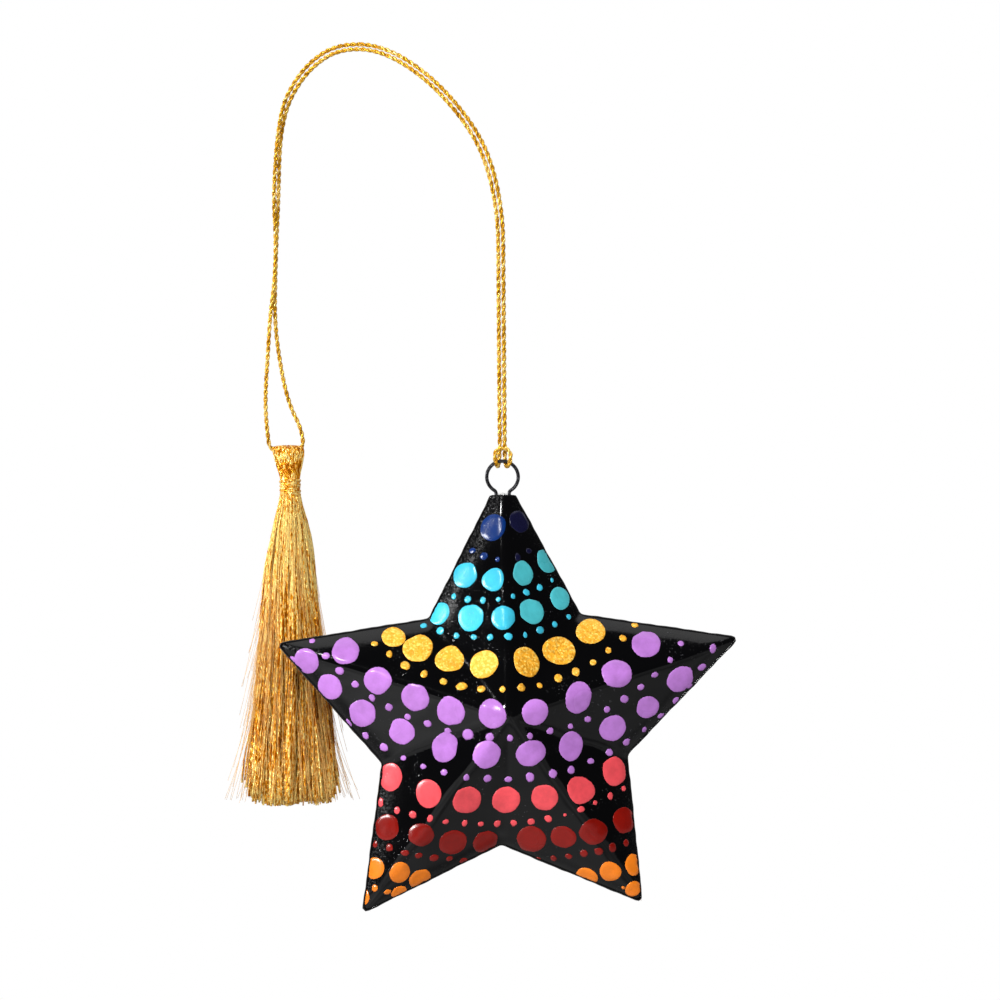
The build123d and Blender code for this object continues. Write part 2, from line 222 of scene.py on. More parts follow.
# The head's half width and half depth at shares of its height
HEAD_WIDE = [0, 0.2, 0.45, 0.7, 0.85, 1.0], [1.8, 2.05, 2.5, 2.85, 2.95, 2.75]
HEAD_DEEP = [0, 0.25, 0.5, 0.74, 0.9, 1.0], [1.6, 1.5, 1.55, 1.9, 1.4, 0.4]
# Skirt: share of its flare that is even, and how quick the rest is
FLARE_EVEN, FLARE_QUICK = 0.72, 9
# Threads: stations and sides, start over the neck's end, thickness to width, and
# the longest
THREAD_STATIONS, THREAD_SIDES, THREAD_OVER, THREAD_FLAT, LONGEST = 23, 4, 1.4, 0.6, 1.012
# How much shorter threads are: spread of a lock and of a thread, the rare short
# one and its rarity, and the threads at the left and the right
LOCK_SHORT, OWN_SHORT, RARE_SHORT, RARE_POWER = 0.01, 0.018, 0.06, 6
LEFT_SHORT, RIGHT_SHORT = 0.055, 0.035
# How far threads are drawn to their lock under the neck and at the hem, and how
# much locks spread and lean, and threads lean
LOCK_PULL, HEM_PULL, LOCK_SPREAD, LOCK_LEAN, OWN_LEAN = 0.32, 0.18, 0.05, 0.5, 0.4
# Sway of a lock and of a thread: least and most size, slowest and quickest beat
SWAYS = (0, 0.25, 1, 4), (0.03, 0.2, 2, 9)
# How soon under the neck threads reach their lock and sway in full, phases of the
# sway, twist of a flat thread, its width at the neck, and spread of its width
LOCK_SOON, SWAY_SOON, PHASES, FACE_TWIST = 4, 5, 6.3, 5
NECK_THIN, WIDTH_SPREAD = 0.45, (0.8, 1.15)
# Hairs: stations, sides, width, and start as a share of the skirt's radius; where
# they leave the skirt and how far down they run; least and most reach, its rarity,
# their curve and their turn
HAIR_STATIONS, HAIR_SIDES, HAIR_WIDTH, HAIR_START = 12, 3, 0.065, 0.95
HAIR_LEAVES, HAIR_RUNS = (0.1, 0.75), (0.2, 0.55)
HAIR_NEAR, HAIR_FAR, HAIR_RARE, HAIR_CURVE, HAIR_TURN = 0.3, 4.6, 2.2, 1.6, 0.2
# Film of each thread starts somewhere within this length
FILM_SHIFT = 500
# Binding: steps of a turn, sides, radius, its unevenness and how often that comes in
# a turn, growth at both ends, where it starts, wander up and down, and its thread's
# depth and height to its width
BIND_STEPS, BIND_SIDES, BIND_RADIUS, BIND_UNEVEN, BIND_BEAT = 28, 8, 1.66, 0.07, 0.37
BIND_ENDS, BIND_START, BIND_WANDER, BIND_DEPTH, BIND_HEIGHT = 0.1, 0.8, 0.16, 0.9, 1.1

# Painted light and shade on the tassel's colour: height, width and amount of each band (painted
# highlight over the head's bulge, on the upper skirt and near the hem, painted shade under the
# bulge and lower down);
# painted highlight streaks as waves round it, drift for each millimetre and amount; where they are
# stronger, over what reach and by how much; how far under the neck they are full; and the cord's
# even light
PAINTED_LIGHT_BANDS = [
    (-69.4, 0.75, 0.5), (-71.2, 0.9, -0.45), (-84.0, 8.5, 0.76), (-108.0, 14.0, -0.05),
    (-127.0, 5.0, 0.35),
]
GLINT_STREAKS = [
    (11, 0.21, 0.1), (19, -0.33, 0.12), (31, 0.52, 0.18), (47, 0.29, 0.2), (71, -0.8, 0.18),
    (37, 1.5, 0.13), (53, -1.2, 0.13),
]
SHEEN_Z, SHEEN_REACH, SHEEN_MORE, STREAK_START = -87.0, 13.0, 1.5, 4.0
CORD_TONE = 0.12
# Metallic thread: colour of the painted pale glints, share of metal, amount of painted sparkle, and
# the wound film's turns, flats and height, for the cord and the tassel; painted shade in the
# hollows as shares of the tint; the tint's place between both; and the painted sparkle's waves for
# each metre
CORD_FINISH_AND_GLINTS = (1.0, 0.7, 0.2), 0.55, 0, 2.2, 1.6, 0.5
THREAD_FINISH_AND_GLINTS = (1.0, 0.74, 0.24), 0.42, 0.5, 1.6, 0.6, 0.8
PAINTED_SHADE_SHARES, TINT_PLACE, SPARKLE_SCALE = (0.42, 0.27, 0.08), 0.55, (3600, 3600, 1400)

# Lights: size, and place from the star's middle, in metres
LIGHTS = {
    "fill": ((0.3, 0.3), (0.04, -0.87, 0.2)),
    "key": ((0.05, 0.05), (-0.341, -0.669, 0.497)),
    "side": ((0.12, 0.12), (-0.684, -0.317, 0.267)),
    "strip": ((0.5, 0.06), (-0.746, -0.2, 0.207)),
    "top": ((1.2, 0.4), (0.0, -0.05, 0.6)),
}
# The lights face the star's middle, this far under its cut point
MIDDLE_DROP = 36
STAR_MIDDLE = (FALL_X, RIM_Y, CUT_Z - MIDDLE_DROP)
# Camera target and sensor width, and the floor's sides, radius and height
CAMERA_TARGET = (23.75, -11.0, -77.93)
SENSOR = 36
FLOOR_SIDES, FLOOR_RADIUS, FLOOR_Z = 64, 2500.0, -330.0


# Settings


def number(name, value, note, **more):
    """A number property."""
    return FloatProperty(name=name, description=note, default=value, **more)


def length(name, mm, note):
    """A length property with its default in millimetres."""
    return number(name, mm * MM, note, unit="LENGTH", precision=5)


def degrees(name, value, note):
    """An angle property with its default in degrees."""
    return number(name, math.radians(value), note, subtype="ANGLE")


def watts(name, value, note):
    """A light's power."""
    return number(name, value, note, unit="POWER")


def whole(name, value, least, note):
    """A whole number property."""
    return IntProperty(name=name, description=note, default=value, min=least)


def colour(name, rgb, note):
    """A colour property."""
    return FloatVectorProperty(
        name=name, description=note, default=rgb, subtype="COLOR", min=0, max=1, size=3
    )


class StarSizes(bpy.types.PropertyGroup):
    """Sizes of the two pressed halves and of the solder between them."""

    tip_round: length("Tip rounding", 0.45, "Radius of a point")
    notch_round: length("Notch rounding", 1.2, "Radius in a notch")
    tip_cut: length("Tip cut", 3.6, "What is cut off the top point for the ring")
    facet_rise: length("Facet rise", 9.6, "Height of the apex over the facets' feet")
    skirt: length("Facet foot", 1.0, "Height of the facets' feet over the rim plane")
    rim_roll: length("Rim roll", 2.3, "Width over which the facets roll down to the rim")
    rim_drop: length("Rim drop", 0.65, "How far the roll falls below the facets")
    crease: length("Crease radius", 1.2, "How softly the sheet bends at a crease")
    dents: length("Dents", 0.1, "Height of the shallow dents from hand pressing")
    sheet: length("Sheet", 0.35, "Thickness of the tin")
    bead_proud: length("Bead proud", 0.3, "How far the solder stands out at the rim")
    bead_height: length("Bead height", 0.9, "Height of the solder across the rim")
    dome_width: length("Dome width", 1.9, "Width of the solder between the ring's legs")
    dome_height: length("Dome height", 0.5, "Height of the solder over the cut point")
    paint: length("Paint thickness", 0.08, "Height of a dot of paint at its middle")


class PaintColours(bpy.types.PropertyGroup):
    """Colours of the lacquer and of the dots."""

    lacquer: colour("Lacquer", (0.0012, 0.0012, 0.0015), "Black ground of the star")
    blue: colour("Blue", (0.001, 0.026, 0.155), "Dots under the ring")
    navy: colour("Navy", (0.006, 0.006, 0.032), "Thin blue dots on the shaded side")
    cyan: colour("Cyan", (0.05, 0.54, 0.74), "Dots of the top arm")
    teal: colour("Teal", (0.075, 0.5, 0.56), "Thin cyan dots on the shaded side")
    gold: colour("Gold", (0.9, 0.4, 0.025), "Glittering dots over the middle")
    purple: colour("Purple", (0.52, 0.21, 0.67), "Dots of the side arms")
    coral: colour("Coral", (0.93, 0.09, 0.11), "Dots under the middle")
    dark_red: colour("Dark red", (0.24, 0.005, 0.002), "Dots over the lower notch")
    orange: colour("Orange", (0.93, 0.23, 0.012), "Dots of the lower arms")


class CordSizes(bpy.types.PropertyGroup):
    """The twisted cord."""

    diameter: length("Diameter", 0.8, "Across both plies")
    lay: length("Lay", 2.5, "Length of one full turn of a ply")
    tint: colour("Tint", (0.8, 0.43, 0.02), "Metallic thread of the cord")


class TasselSizes(bpy.types.PropertyGroup):
    """The tassel's threads."""

    threads: whole("Threads", 1080, 100, "Threads of the skirt")
    locks: whole("Locks", 70, 5, "Locks that the threads gather in")
    strays: whole("Strays", 420, 0, "Fine hairs round the skirt")
    hair: colour("Hair", (0.92, 0.52, 0.14), "Fine stray hairs")
    thread_width: length("Thread width", 0.42, "Width of a flat thread")
    hem_radius: length("Hem radius", 8.1, "Radius of the skirt at its hem")
    neck_radius: length("Neck radius", 1.5, "Radius of the bundle under the binding")
    head_loops: whole("Loops", 22, 5, "Threads folded over the cord")
    bind_turns: whole("Turns", 8, 2, "Turns of the binding")
    bind_width: length("Binding thread", 0.38, "Diameter of the binding's thread")
    tint: colour("Tint", (0.84, 0.342, 0.01), "Metallic thread of the tassel")


class StageSettings(bpy.types.PropertyGroup):
    """Camera and light."""

    azimuth: degrees("Azimuth", -3.92, "Camera round the star")
    elevation: degrees("Elevation", -2.5, "Camera over the horizon")
    roll: degrees("Roll", -0.43, "Turn about the view")
    distance: length("Distance", 480, "Camera to its target")
    lens: number("Lens", 103.0, "Focal length in millimetres")
    fill_power: watts("Fill", 6.6, "Even light from the front")
    key_power: watts("Key", 2.2, "Small light from the upper left")
    side_power: watts("Side", 2.0, "Light from the left")
    strip_power: watts("Strip", 3.8, "Long light that glances along the threads")
    top_power: watts("Top", 1.4, "Light over the star")
    floor_glow: number("Floor", 0.62, "Brightness of the pale floor")
    room_glow: number("Room", 0.03, "Brightness of the room in front")
    back_glow: number("Back", 0.9, "Brightness of the wall behind")


class OrnamentSettings(bpy.types.PropertyGroup):
    """Everything that a user would change."""

    star: PointerProperty(type=StarSizes)
    paints: PointerProperty(type=PaintColours)
    cord: PointerProperty(type=CordSizes)
    tassel: PointerProperty(type=TasselSizes)
    stage: PointerProperty(type=StageSettings)


def settings():
    """The scene's own settings."""
    return bpy.context.scene.tin_star


# Meshes


def unit(vectors):
    """Vectors at length one."""
    return vectors / np.linalg.norm(vectors, axis=-1, keepdims=True)


def add_piece(name, points, faces, material, corners=None, tone=None):
    """A smooth mesh at the origin from points in millimetres.

    corners holds one UV pair for each face corner, in the order of the faces,
    and tone one number for each point.
    """
    mesh = bpy.data.meshes.new(name)
    mesh.from_pydata((points * MM).tolist(), [], faces)
    mesh.polygons.foreach_set("use_smooth", np.ones(len(mesh.polygons), bool))
    if corners is not None:
        layer = mesh.uv_layers.new(name="along")
        layer.data.foreach_set("uv", np.asarray(corners, np.float32).ravel())
    if tone is not None:
        layer = mesh.attributes.new("tone", "FLOAT", "POINT")
        layer.data.foreach_set("value", np.asarray(tone, np.float32))
    mesh.update()
    mesh.materials.append(material)
    piece = bpy.data.objects.new(name, mesh)
    bpy.context.scene.collection.objects.link(piece)
    return piece


def lengths(line):
    """Length along a line of points, at each of them."""
    return np.concatenate([[0], np.cumsum(np.linalg.norm(np.diff(line, axis=0), axis=1))])


def points_at(line, along, at):
    """Points of a line at given lengths along it."""
    return np.stack([np.interp(at, along, column) for column in line.T], axis=-1)


def grid(rows, cols):
    """Quads of closed rings numbered row by row, and each corner's column and row."""
    row, col = np.meshgrid(np.arange(rows - 1), np.arange(cols), indexing="ij")
    row, col = row[..., None] + [0, 0, 1, 1], col[..., None] + [0, 1, 1, 0]
    quads = (row * cols + col % cols).reshape(-1, 4)
    places = np.stack([col, row], axis=-1).reshape(-1, 4, 2)
    return quads, places


def fan(hub, first, sides, turned=False):
    """Triangles from point hub to the ring of points that starts at first."""
    here = np.arange(sides)
    on = (here + 1) % sides
    pair = (on, here) if turned else (here, on)
    return np.stack([np.full(sides, hub), first + pair[0], first + pair[1]], axis=-1)


def tubes(paths, across, wide, thick, sides, shift):
    """Closed tubes along many paths at once.

    paths is (tubes, stations, 3). At each station the section is the ellipse
    path + wide * cos(a) * across + thick * sin(a) * (tangent x across). UVs run
    round the tube from 0 to 1 and along it in millimetres plus shift.
    """
    count, stations, _ = paths.shape
    tangent = unit(np.gradient(paths, axis=1))
    across = unit(across - (across * tangent).sum(-1, keepdims=True) * tangent)
    beside = np.cross(tangent, across)
    angle = (np.arange(sides) + 0.5) * 2 * np.pi / sides
    wide = np.broadcast_to(wide, (count, stations))[..., None, None] / 2
    thick = np.broadcast_to(thick, (count, stations))[..., None, None] / 2
    points = (
        paths[:, :, None]
        + wide * np.cos(angle)[:, None] * across[:, :, None]
        + thick * np.sin(angle)[:, None] * beside[:, :, None]
    )
    quads, places = grid(stations, sides)
    first = np.arange(count)[:, None, None] * stations * sides
    steps = np.linalg.norm(np.diff(paths, axis=1), axis=-1)
    along = np.concatenate([np.zeros((count, 1)), np.cumsum(steps, axis=1)], axis=1)
    along = along + shift[:, None]
    corners = np.stack(
        [np.broadcast_to(places[..., 0] / sides, (count, *quads.shape)), along[:, places[..., 1]]],
        axis=-1,
    )
    near = first[:, 0] + np.arange(sides)[::-1]
    far = first[:, 0] + (stations - 1) * sides + np.arange(sides)
    ends = np.zeros((2 * count * sides, 2))
    faces = (quads + first).reshape(-1, 4).tolist() + near.tolist() + far.tolist()
    return points.reshape(-1, 3), faces, np.concatenate([corners.reshape(-1, 2), ends])


def join(*parts):
    """Several (points, faces, values) as one; the values are UV pairs or tones."""
    points, faces, values, first = [], [], [], 0
    for part_points, part_faces, part_values in parts:
        points.append(part_points)
        faces += [[first + k for k in face] for face in part_faces]
        values.append(part_values)
        first += len(part_points)
    return np.concatenate(points), faces, np.concatenate(values)


# The star's surface


class StarForm:
    """The pressed half star as a height over its rim plane, in millimetres."""

    def __init__(self, sizes):
        self.tip_round = sizes.tip_round / MM
        self.notch_round = sizes.notch_round / MM
        self.cut = CORNERS[0, 0] - sizes.tip_cut / MM
        self.rise = sizes.facet_rise / MM
        self.skirt = sizes.skirt / MM
        self.roll = sizes.rim_roll / MM
        self.fall = sizes.rim_drop / MM
        self.crease = sizes.crease / MM
        self.dents = sizes.dents / MM
        self.turns = np.radians(CORNERS[:, 1])
        self.corner = CORNERS[:, :1] * np.stack([-np.sin(self.turns), np.cos(self.turns)], axis=-1)
        ahead = unit(np.roll(self.corner, -1, axis=0) - self.corner)
        self.out = np.stack([ahead[:, 1], -ahead[:, 0]], axis=-1)
        self.edge = (self.out * self.corner).sum(-1)
        self.middle_z = CUT_Z - self.cut

    def reach(self, u, v):
        """Place between the middle, 0, and the straight outline, 1, and the edge's distance.

        A point belongs to the edge between the two corners that its angle lies
        between: n . p / d, with that edge's normal n and distance d.
        """
        angle = np.arctan2(-np.asarray(u), v) % (2 * np.pi)
        k = np.searchsorted(self.turns, angle, side="right") - 1
        return (self.out[k, 0] * u + self.out[k, 1] * v) / self.edge[k], self.edge[k]

    def inset(self, u, v):
        """Distance in from the straight outline."""
        reach, edge = self.reach(u, v)
        return (1 - reach) * edge

    def height(self, u, v):
        """Facets that roll down at the rim, averaged over a disc.

        Facet: skirt + rise * (1 - reach). Roll: drop * (1 - inset / roll)^2
        off that where the inset is less than the roll. The disc rounds the
        creases, and two pairs of crossed waves give the shallow dents.
        """
        spot = np.arange(DISC_SPOTS)
        off = self.crease * np.sqrt((spot + 0.5) / DISC_SPOTS)
        reach, edge = self.reach(
            np.asarray(u)[..., None] + off * np.cos(spot * GOLDEN),
            np.asarray(v)[..., None] + off * np.sin(spot * GOLDEN),
        )
        inset = (1 - reach) * edge
        facet = self.skirt + self.rise * (1 - reach)
        rolled = facet - self.fall * np.clip(1 - inset / self.roll, 0, ROLL_END) ** 2
        waves = sum(
            size * np.sin(a * u + b * v + c) * np.sin(d * u + e * v + f)
            for size, (a, b, c), (d, e, f) in DENT_WAVES
        )
        return rolled.mean(-1) + self.dents * waves * np.clip(self.inset(u, v) / DENT_FADE, 0, 1)

    def normal(self, u, v):
        """Unit normal (u, v, height) from central differences."""
        step = SLOPE_STEP
        along_u = (self.height(u + step, v) - self.height(u - step, v)) / (2 * step)
        along_v = (self.height(u, v + step) - self.height(u, v - step)) / (2 * step)
        return unit(np.stack([-along_u, -along_v, np.ones_like(along_u)], axis=-1))

    def outline(self, count):
        """The rounded outline as count points at even spacing, from the top point.

        Every corner is an arc tangent to its two edges.
        """
        bend = np.where(np.arange(len(CORNERS)) % 2, self.notch_round, self.tip_round)
        corner = self.corner
        back = unit(np.roll(corner, 1, axis=0) - corner)
        ahead = unit(np.roll(corner, -1, axis=0) - corner)
        half = np.arccos((back * ahead).sum(-1)) / 2
        centre = corner + (bend / np.sin(half))[:, None] * unit(back + ahead)
        from_way = corner + (bend / np.tan(half))[:, None] * back - centre
        to_way = corner + (bend / np.tan(half))[:, None] * ahead - centre
        share = np.linspace(0, 1, ARC_POINTS)[:, None]
        arc = unit(from_way[:, None] * (1 - share) + to_way[:, None] * share)
        line = (centre[:, None] + bend[:, None, None] * arc).reshape(-1, 2)
        line = np.concatenate([line, line[:1]])
        along = lengths(line)
        line = points_at(line, along, np.arange(count) / count * along[-1])
        line[:, 1] = np.minimum(line[:, 1], self.cut)
        return line

    def world(self, u, v, height, side):
        """Points in the frame; side is 1 for the front half and -1 for the back."""
        return np.stack([FALL_X + u, RIM_Y - side * height, self.middle_z + v], axis=-1)


def pressed_half(form, side):
    """Skin of one half: outline points scaled to the middle, then a wall to the rim.

    Row s of the grid is outline * s at height(s * outline), with more rows near
    the rolled rim, and the last rows go straight down to the rim plane.
    """
    line = form.outline(OUTLINE_POINTS)
    scale = 1 - (1 - np.linspace(FIRST_ROW, 1, HALF_ROWS)) ** ROW_POWER
    u, v = scale[:, None] * line[:, 0], scale[:, None] * line[:, 1]
    height = form.height(u, v)
    wall = height[-1] * WALL_SHARES
    u = np.concatenate([u, [line[:, 0]] * len(wall)])
    v = np.concatenate([v, [line[:, 1]] * len(wall)])
    points = form.world(u, v, np.concatenate([height, wall]), side).reshape(-1, 3)
    middle = form.world(0.0, 0.0, form.height(0.0, 0.0), side)
    quads, _ = grid(len(u), OUTLINE_POINTS)
    apex = fan(len(points), 0, OUTLINE_POINTS, True)
    if side > 0:
        quads, apex = quads[:, ::-1], apex[:, ::-1]
    wear = np.clip(1 - form.inset(u, v) / RIM_WEAR, 0, 1)
    wear = wear + APEX_WEAR * np.exp(-(u**2 + v**2) / APEX_REACH**2)
    points = np.concatenate([points, middle[None]])
    return points, quads.tolist() + apex.tolist(), np.append(wear, APEX_WEAR)


def solder_bead(form, sizes):
    """Bead round the seam: a half ellipse carried along the outline.

    It stands proud by bead_proud and swells and thins a little along the seam.
    """
    line = form.outline(OUTLINE_POINTS)
    ahead = unit(np.roll(line, -1, axis=0) - np.roll(line, 1, axis=0))
    outward = np.stack([ahead[:, 1], -ahead[:, 0]], axis=-1)
    outward = outward * np.sign((outward * line).sum(-1).mean())
    phase = np.arange(OUTLINE_POINTS) * 2 * np.pi / OUTLINE_POINTS
    swell = 1 + sum(size * np.sin(waves * phase + start) for size, waves, start in BEAD_SWELLS)
    angle = np.linspace(0, 2 * np.pi, BEAD_SIDES, endpoint=False)
    reach = np.where(np.cos(angle) > 0, BEAD_SHARE * sizes.bead_proud / MM, BEAD_INWARD)
    off = reach * np.cos(angle) * swell[:, None]
    tall = 0.5 * sizes.bead_height / MM * np.sin(angle) * np.ones((OUTLINE_POINTS, 1))
    u = line[:, :1] + outward[:, :1] * off
    v = np.minimum(line[:, 1:] + outward[:, 1:] * off, form.cut)
    points = form.world(u, v, tall, 1).reshape(-1, 3)
    quads, _ = grid(OUTLINE_POINTS + 1, BEAD_SIDES)
    return points, (quads[:, ::-1] % len(points)).tolist()


def solder_dome(sizes):
    """Half ellipsoid of solder on the cut top point, between the ring's legs."""
    lat = np.linspace(0, 0.5 * np.pi, DOME_ROWS + 1)[:-1, None]
    lon = np.linspace(0, 2 * np.pi, DOME_SIDES, endpoint=False)
    width = sizes.dome_width
    half = np.array([width, DOME_DEPTH * width, 2 * sizes.dome_height]) / MM / 2
    ring = np.stack(
        [np.cos(lat) * np.cos(lon), np.cos(lat) * np.sin(lon), np.sin(lat) + 0 * lon], axis=-1
    )
    centre = np.array([FALL_X, RIM_Y, CUT_Z - DOME_SUNK])
    points = centre + half * np.concatenate([ring.reshape(-1, 3), [[0, 0, 1], [0, 0, 0]]])
    quads, _ = grid(DOME_ROWS, DOME_SIDES)
    top = DOME_ROWS * DOME_SIDES
    cap, base = fan(top, top - DOME_SIDES, DOME_SIDES), fan(top + 1, 0, DOME_SIDES, True)
    return points, quads.tolist() + cap.tolist() + base.tolist()


# Dots of paint


def make_of(radius):
    """How a dot of this radius is made."""
    return BIG_MAKE if radius > BIG_DOT else SMALL_MAKE


def row_of_dots(form, row, rng):
    """Middles and radii of one row's dots, with small slips of the hand.

    A dot at arc angle a lies at (shift + R sin a, low + R (1 - cos a)).
    """
    _, low, shift, arc, pitch, radius, middle, left, right = row
    first = math.asin((middle - shift) / arc)
    step = np.arange(-left, right + 1)
    angle = first + step * pitch / arc
    angle = angle[np.abs(angle) < ARC_END]
    slip = SLIP_SHARE * radius + SLIP
    u = shift + arc * np.sin(angle) + rng.normal(0, slip, len(angle))
    v = low + arc * (1 - np.cos(angle)) + rng.normal(0, slip, len(angle))
    size = radius * (1 + rng.normal(0, make_of(radius)[-1], len(angle)))
    keep = (form.inset(u, v) > -OVERHANG * radius) & (v < form.cut - UNDER_CUT * radius)
    return u[keep], v[keep], size[keep]


def draped_dots(form, u0, v0, radius, side, thick, rng):
    """Closed caps of paint laid on the pressed half.

    A ring at share q of a dot with a wavy outline is moved to the sheet's
    tangent plane, dropped onto it, and lifted by thick * (1 - q^30). What would
    pass the outline turns down the rim's wall.
    """
    big = radius[0] > BIG_DOT
    sides, shares, wobble, pull, _ = make_of(radius[0])
    shares = np.array(shares)
    count = len(u0)
    angle = np.arange(sides) * 2 * np.pi / sides
    waves = EDGE_WAVES[:, None]
    swing = rng.normal(0, wobble, (count, len(waves), 1)) / (waves - 0.4)
    phase = rng.uniform(0, 2 * np.pi, (count, len(waves), 1))
    edge = 1 + (swing * np.cos(waves * angle + phase)).sum(1)
    stretch = 1 + rng.normal(0, pull, count)
    reach = (radius[:, None] * edge)[:, None] * shares[:, None]
    du = reach * np.cos(angle) * stretch[:, None, None]
    dv = reach * np.sin(angle) / stretch[:, None, None]
    slope = form.normal(u0, v0)
    lean = np.hypot(slope[:, 0], slope[:, 1])
    way = slope[:, :2] / np.maximum(lean, 1e-9)[:, None]
    squeeze = (slope[:, 2] - 1)[:, None, None] * (du * way[:, :1, None] + dv * way[:, 1:, None])
    u = u0[:, None, None] + du + squeeze * way[:, :1, None]
    v = v0[:, None, None] + dv + squeeze * way[:, 1:, None]
    lift = thick * (1 - shares**EDGE_POWER) - SUNK
    ring_points = drop(form, u, v, lift[:, None], side).reshape(count, -1, 3)
    hidden = drop(form, u[:, 1], v[:, 1], -BASE_DEPTH, side) if big else np.empty((count, 0, 3))
    top = drop(form, u0, v0, thick - SUNK, side)
    under = drop(form, u0, v0, -BASE_DEPTH, side)
    points = np.concatenate([ring_points, hidden, top[:, None], under[:, None]], axis=1)
    rings = len(shares) + big
    quads, _ = grid(rings, sides)
    crown = rings * sides
    cap, base = fan(crown, 0, sides, True), fan(crown + 1, crown - sides, sides)
    if side > 0:
        quads, cap, base = quads[:, ::-1], cap[:, ::-1], base[:, ::-1]
    first = np.arange(count)[:, None, None] * points.shape[1]
    faces = []
    for part in (quads, cap, base):
        faces += (part + first).reshape(-1, part.shape[1]).tolist()
    tone = np.repeat(rng.uniform(0, 1, count), points.shape[1])
    return points.reshape(-1, 3), faces, tone


def drop(form, u, v, lift, side):
    """Points at (u, v) laid on the half, lifted along its normal, kept off the rim's outside."""
    u, v = np.asarray(u, float), np.asarray(v, float)
    past = np.clip(-form.inset(u, v), 0, None)
    back = 1 / np.maximum(form.reach(u, v)[0], 1.0)
    v_in = np.minimum(v * back, form.cut - CUT_GAP)
    u_in = u * back
    normal = form.normal(u_in, v_in)
    height = np.maximum(form.height(u_in, v_in) - past, LEAST_HEIGHT)
    return form.world(
        u_in + normal[..., 0] * lift,
        np.minimum(v_in + normal[..., 1] * lift, form.cut),
        height + normal[..., 2] * lift,
        side,
    )


# Cord


def drawn_together(route, other, share):
    """Two strands moved towards the line midway between them; share is what is left."""
    route, other = np.array(route), np.array(other)
    middle = (route + other) / 2
    share = np.broadcast_to(share, len(route))[:, None]
    return middle + share * (route - middle), middle + share * (other - middle)


def spline_points(name, route):
    """Evenly spaced points read from the NURBS spline whose control points are the route's."""
    curve = bpy.data.curves.new(name, "CURVE")
    curve.dimensions = "3D"
    curve.resolution_u = SPLINE_POINTS
    spline = curve.splines.new("NURBS")
    spline.points.add(len(route) - 1)
    spline.points.foreach_set("co", np.c_[np.array(route) * MM, np.ones(len(route))].ravel())
    spline.order_u = 3
    spline.use_endpoint_u = True
    holder = bpy.data.objects.new(name, curve)
    mesh = bpy.data.meshes.new_from_object(holder)
    line = np.empty(len(mesh.vertices) * 3)
    mesh.vertices.foreach_get("co", line)
    line = line.reshape(-1, 3) / MM
    bpy.data.meshes.remove(mesh)
    bpy.data.objects.remove(holder)
    bpy.data.curves.remove(curve)
    along = lengths(line)
    at = np.linspace(0, along[-1], round(along[-1] / CORD_STEP) + 1)
    return points_at(line, along, at), along[-1]


def twisted_cord(line, total, sizes):
    """Two plies wound about a line: line + r (cos t n + sin t b), t = 2 pi s / lay."""
    tangent = unit(np.gradient(line, axis=0))
    across = unit(ACROSS_CORD - (tangent @ ACROSS_CORD)[:, None] * tangent)
    beside = np.cross(tangent, across)
    turn = np.linspace(0, total, len(line)) * 2 * np.pi * MM / sizes.lay
    turn = turn + np.array([0, np.pi])[:, None]
    out = np.cos(turn)[..., None] * across + np.sin(turn)[..., None] * beside
    thick = sizes.diameter / MM
    plies = line + PLY_PLACE * thick * out
    wide, deep = PLY_WIDTH * thick, PLY_THICKNESS * thick
    return tubes(plies, out, wide, deep, PLY_SIDES, np.array([0.0, PLY_SHIFT]))


# Tassel


def skirt_radius(sizes, past):
    """Radius of the skirt at share past of its length: quick under the neck, then even."""
    neck, hem = sizes.neck_radius / MM, sizes.hem_radius / MM
    flare = FLARE_EVEN * past + (1 - FLARE_EVEN) * (1 - np.exp(-past * FLARE_QUICK))
    return neck + (hem - neck) * flare


def sunflower(count):
    """Points of an even layout on the unit disc: radius sqrt((k + 0.5) / n), angle k * golden."""
    k = np.arange(count)
    reach = np.sqrt((k + 0.5) / count)
    return np.stack([reach * np.cos(k * GOLDEN), reach * np.sin(k * GOLDEN)], axis=-1)


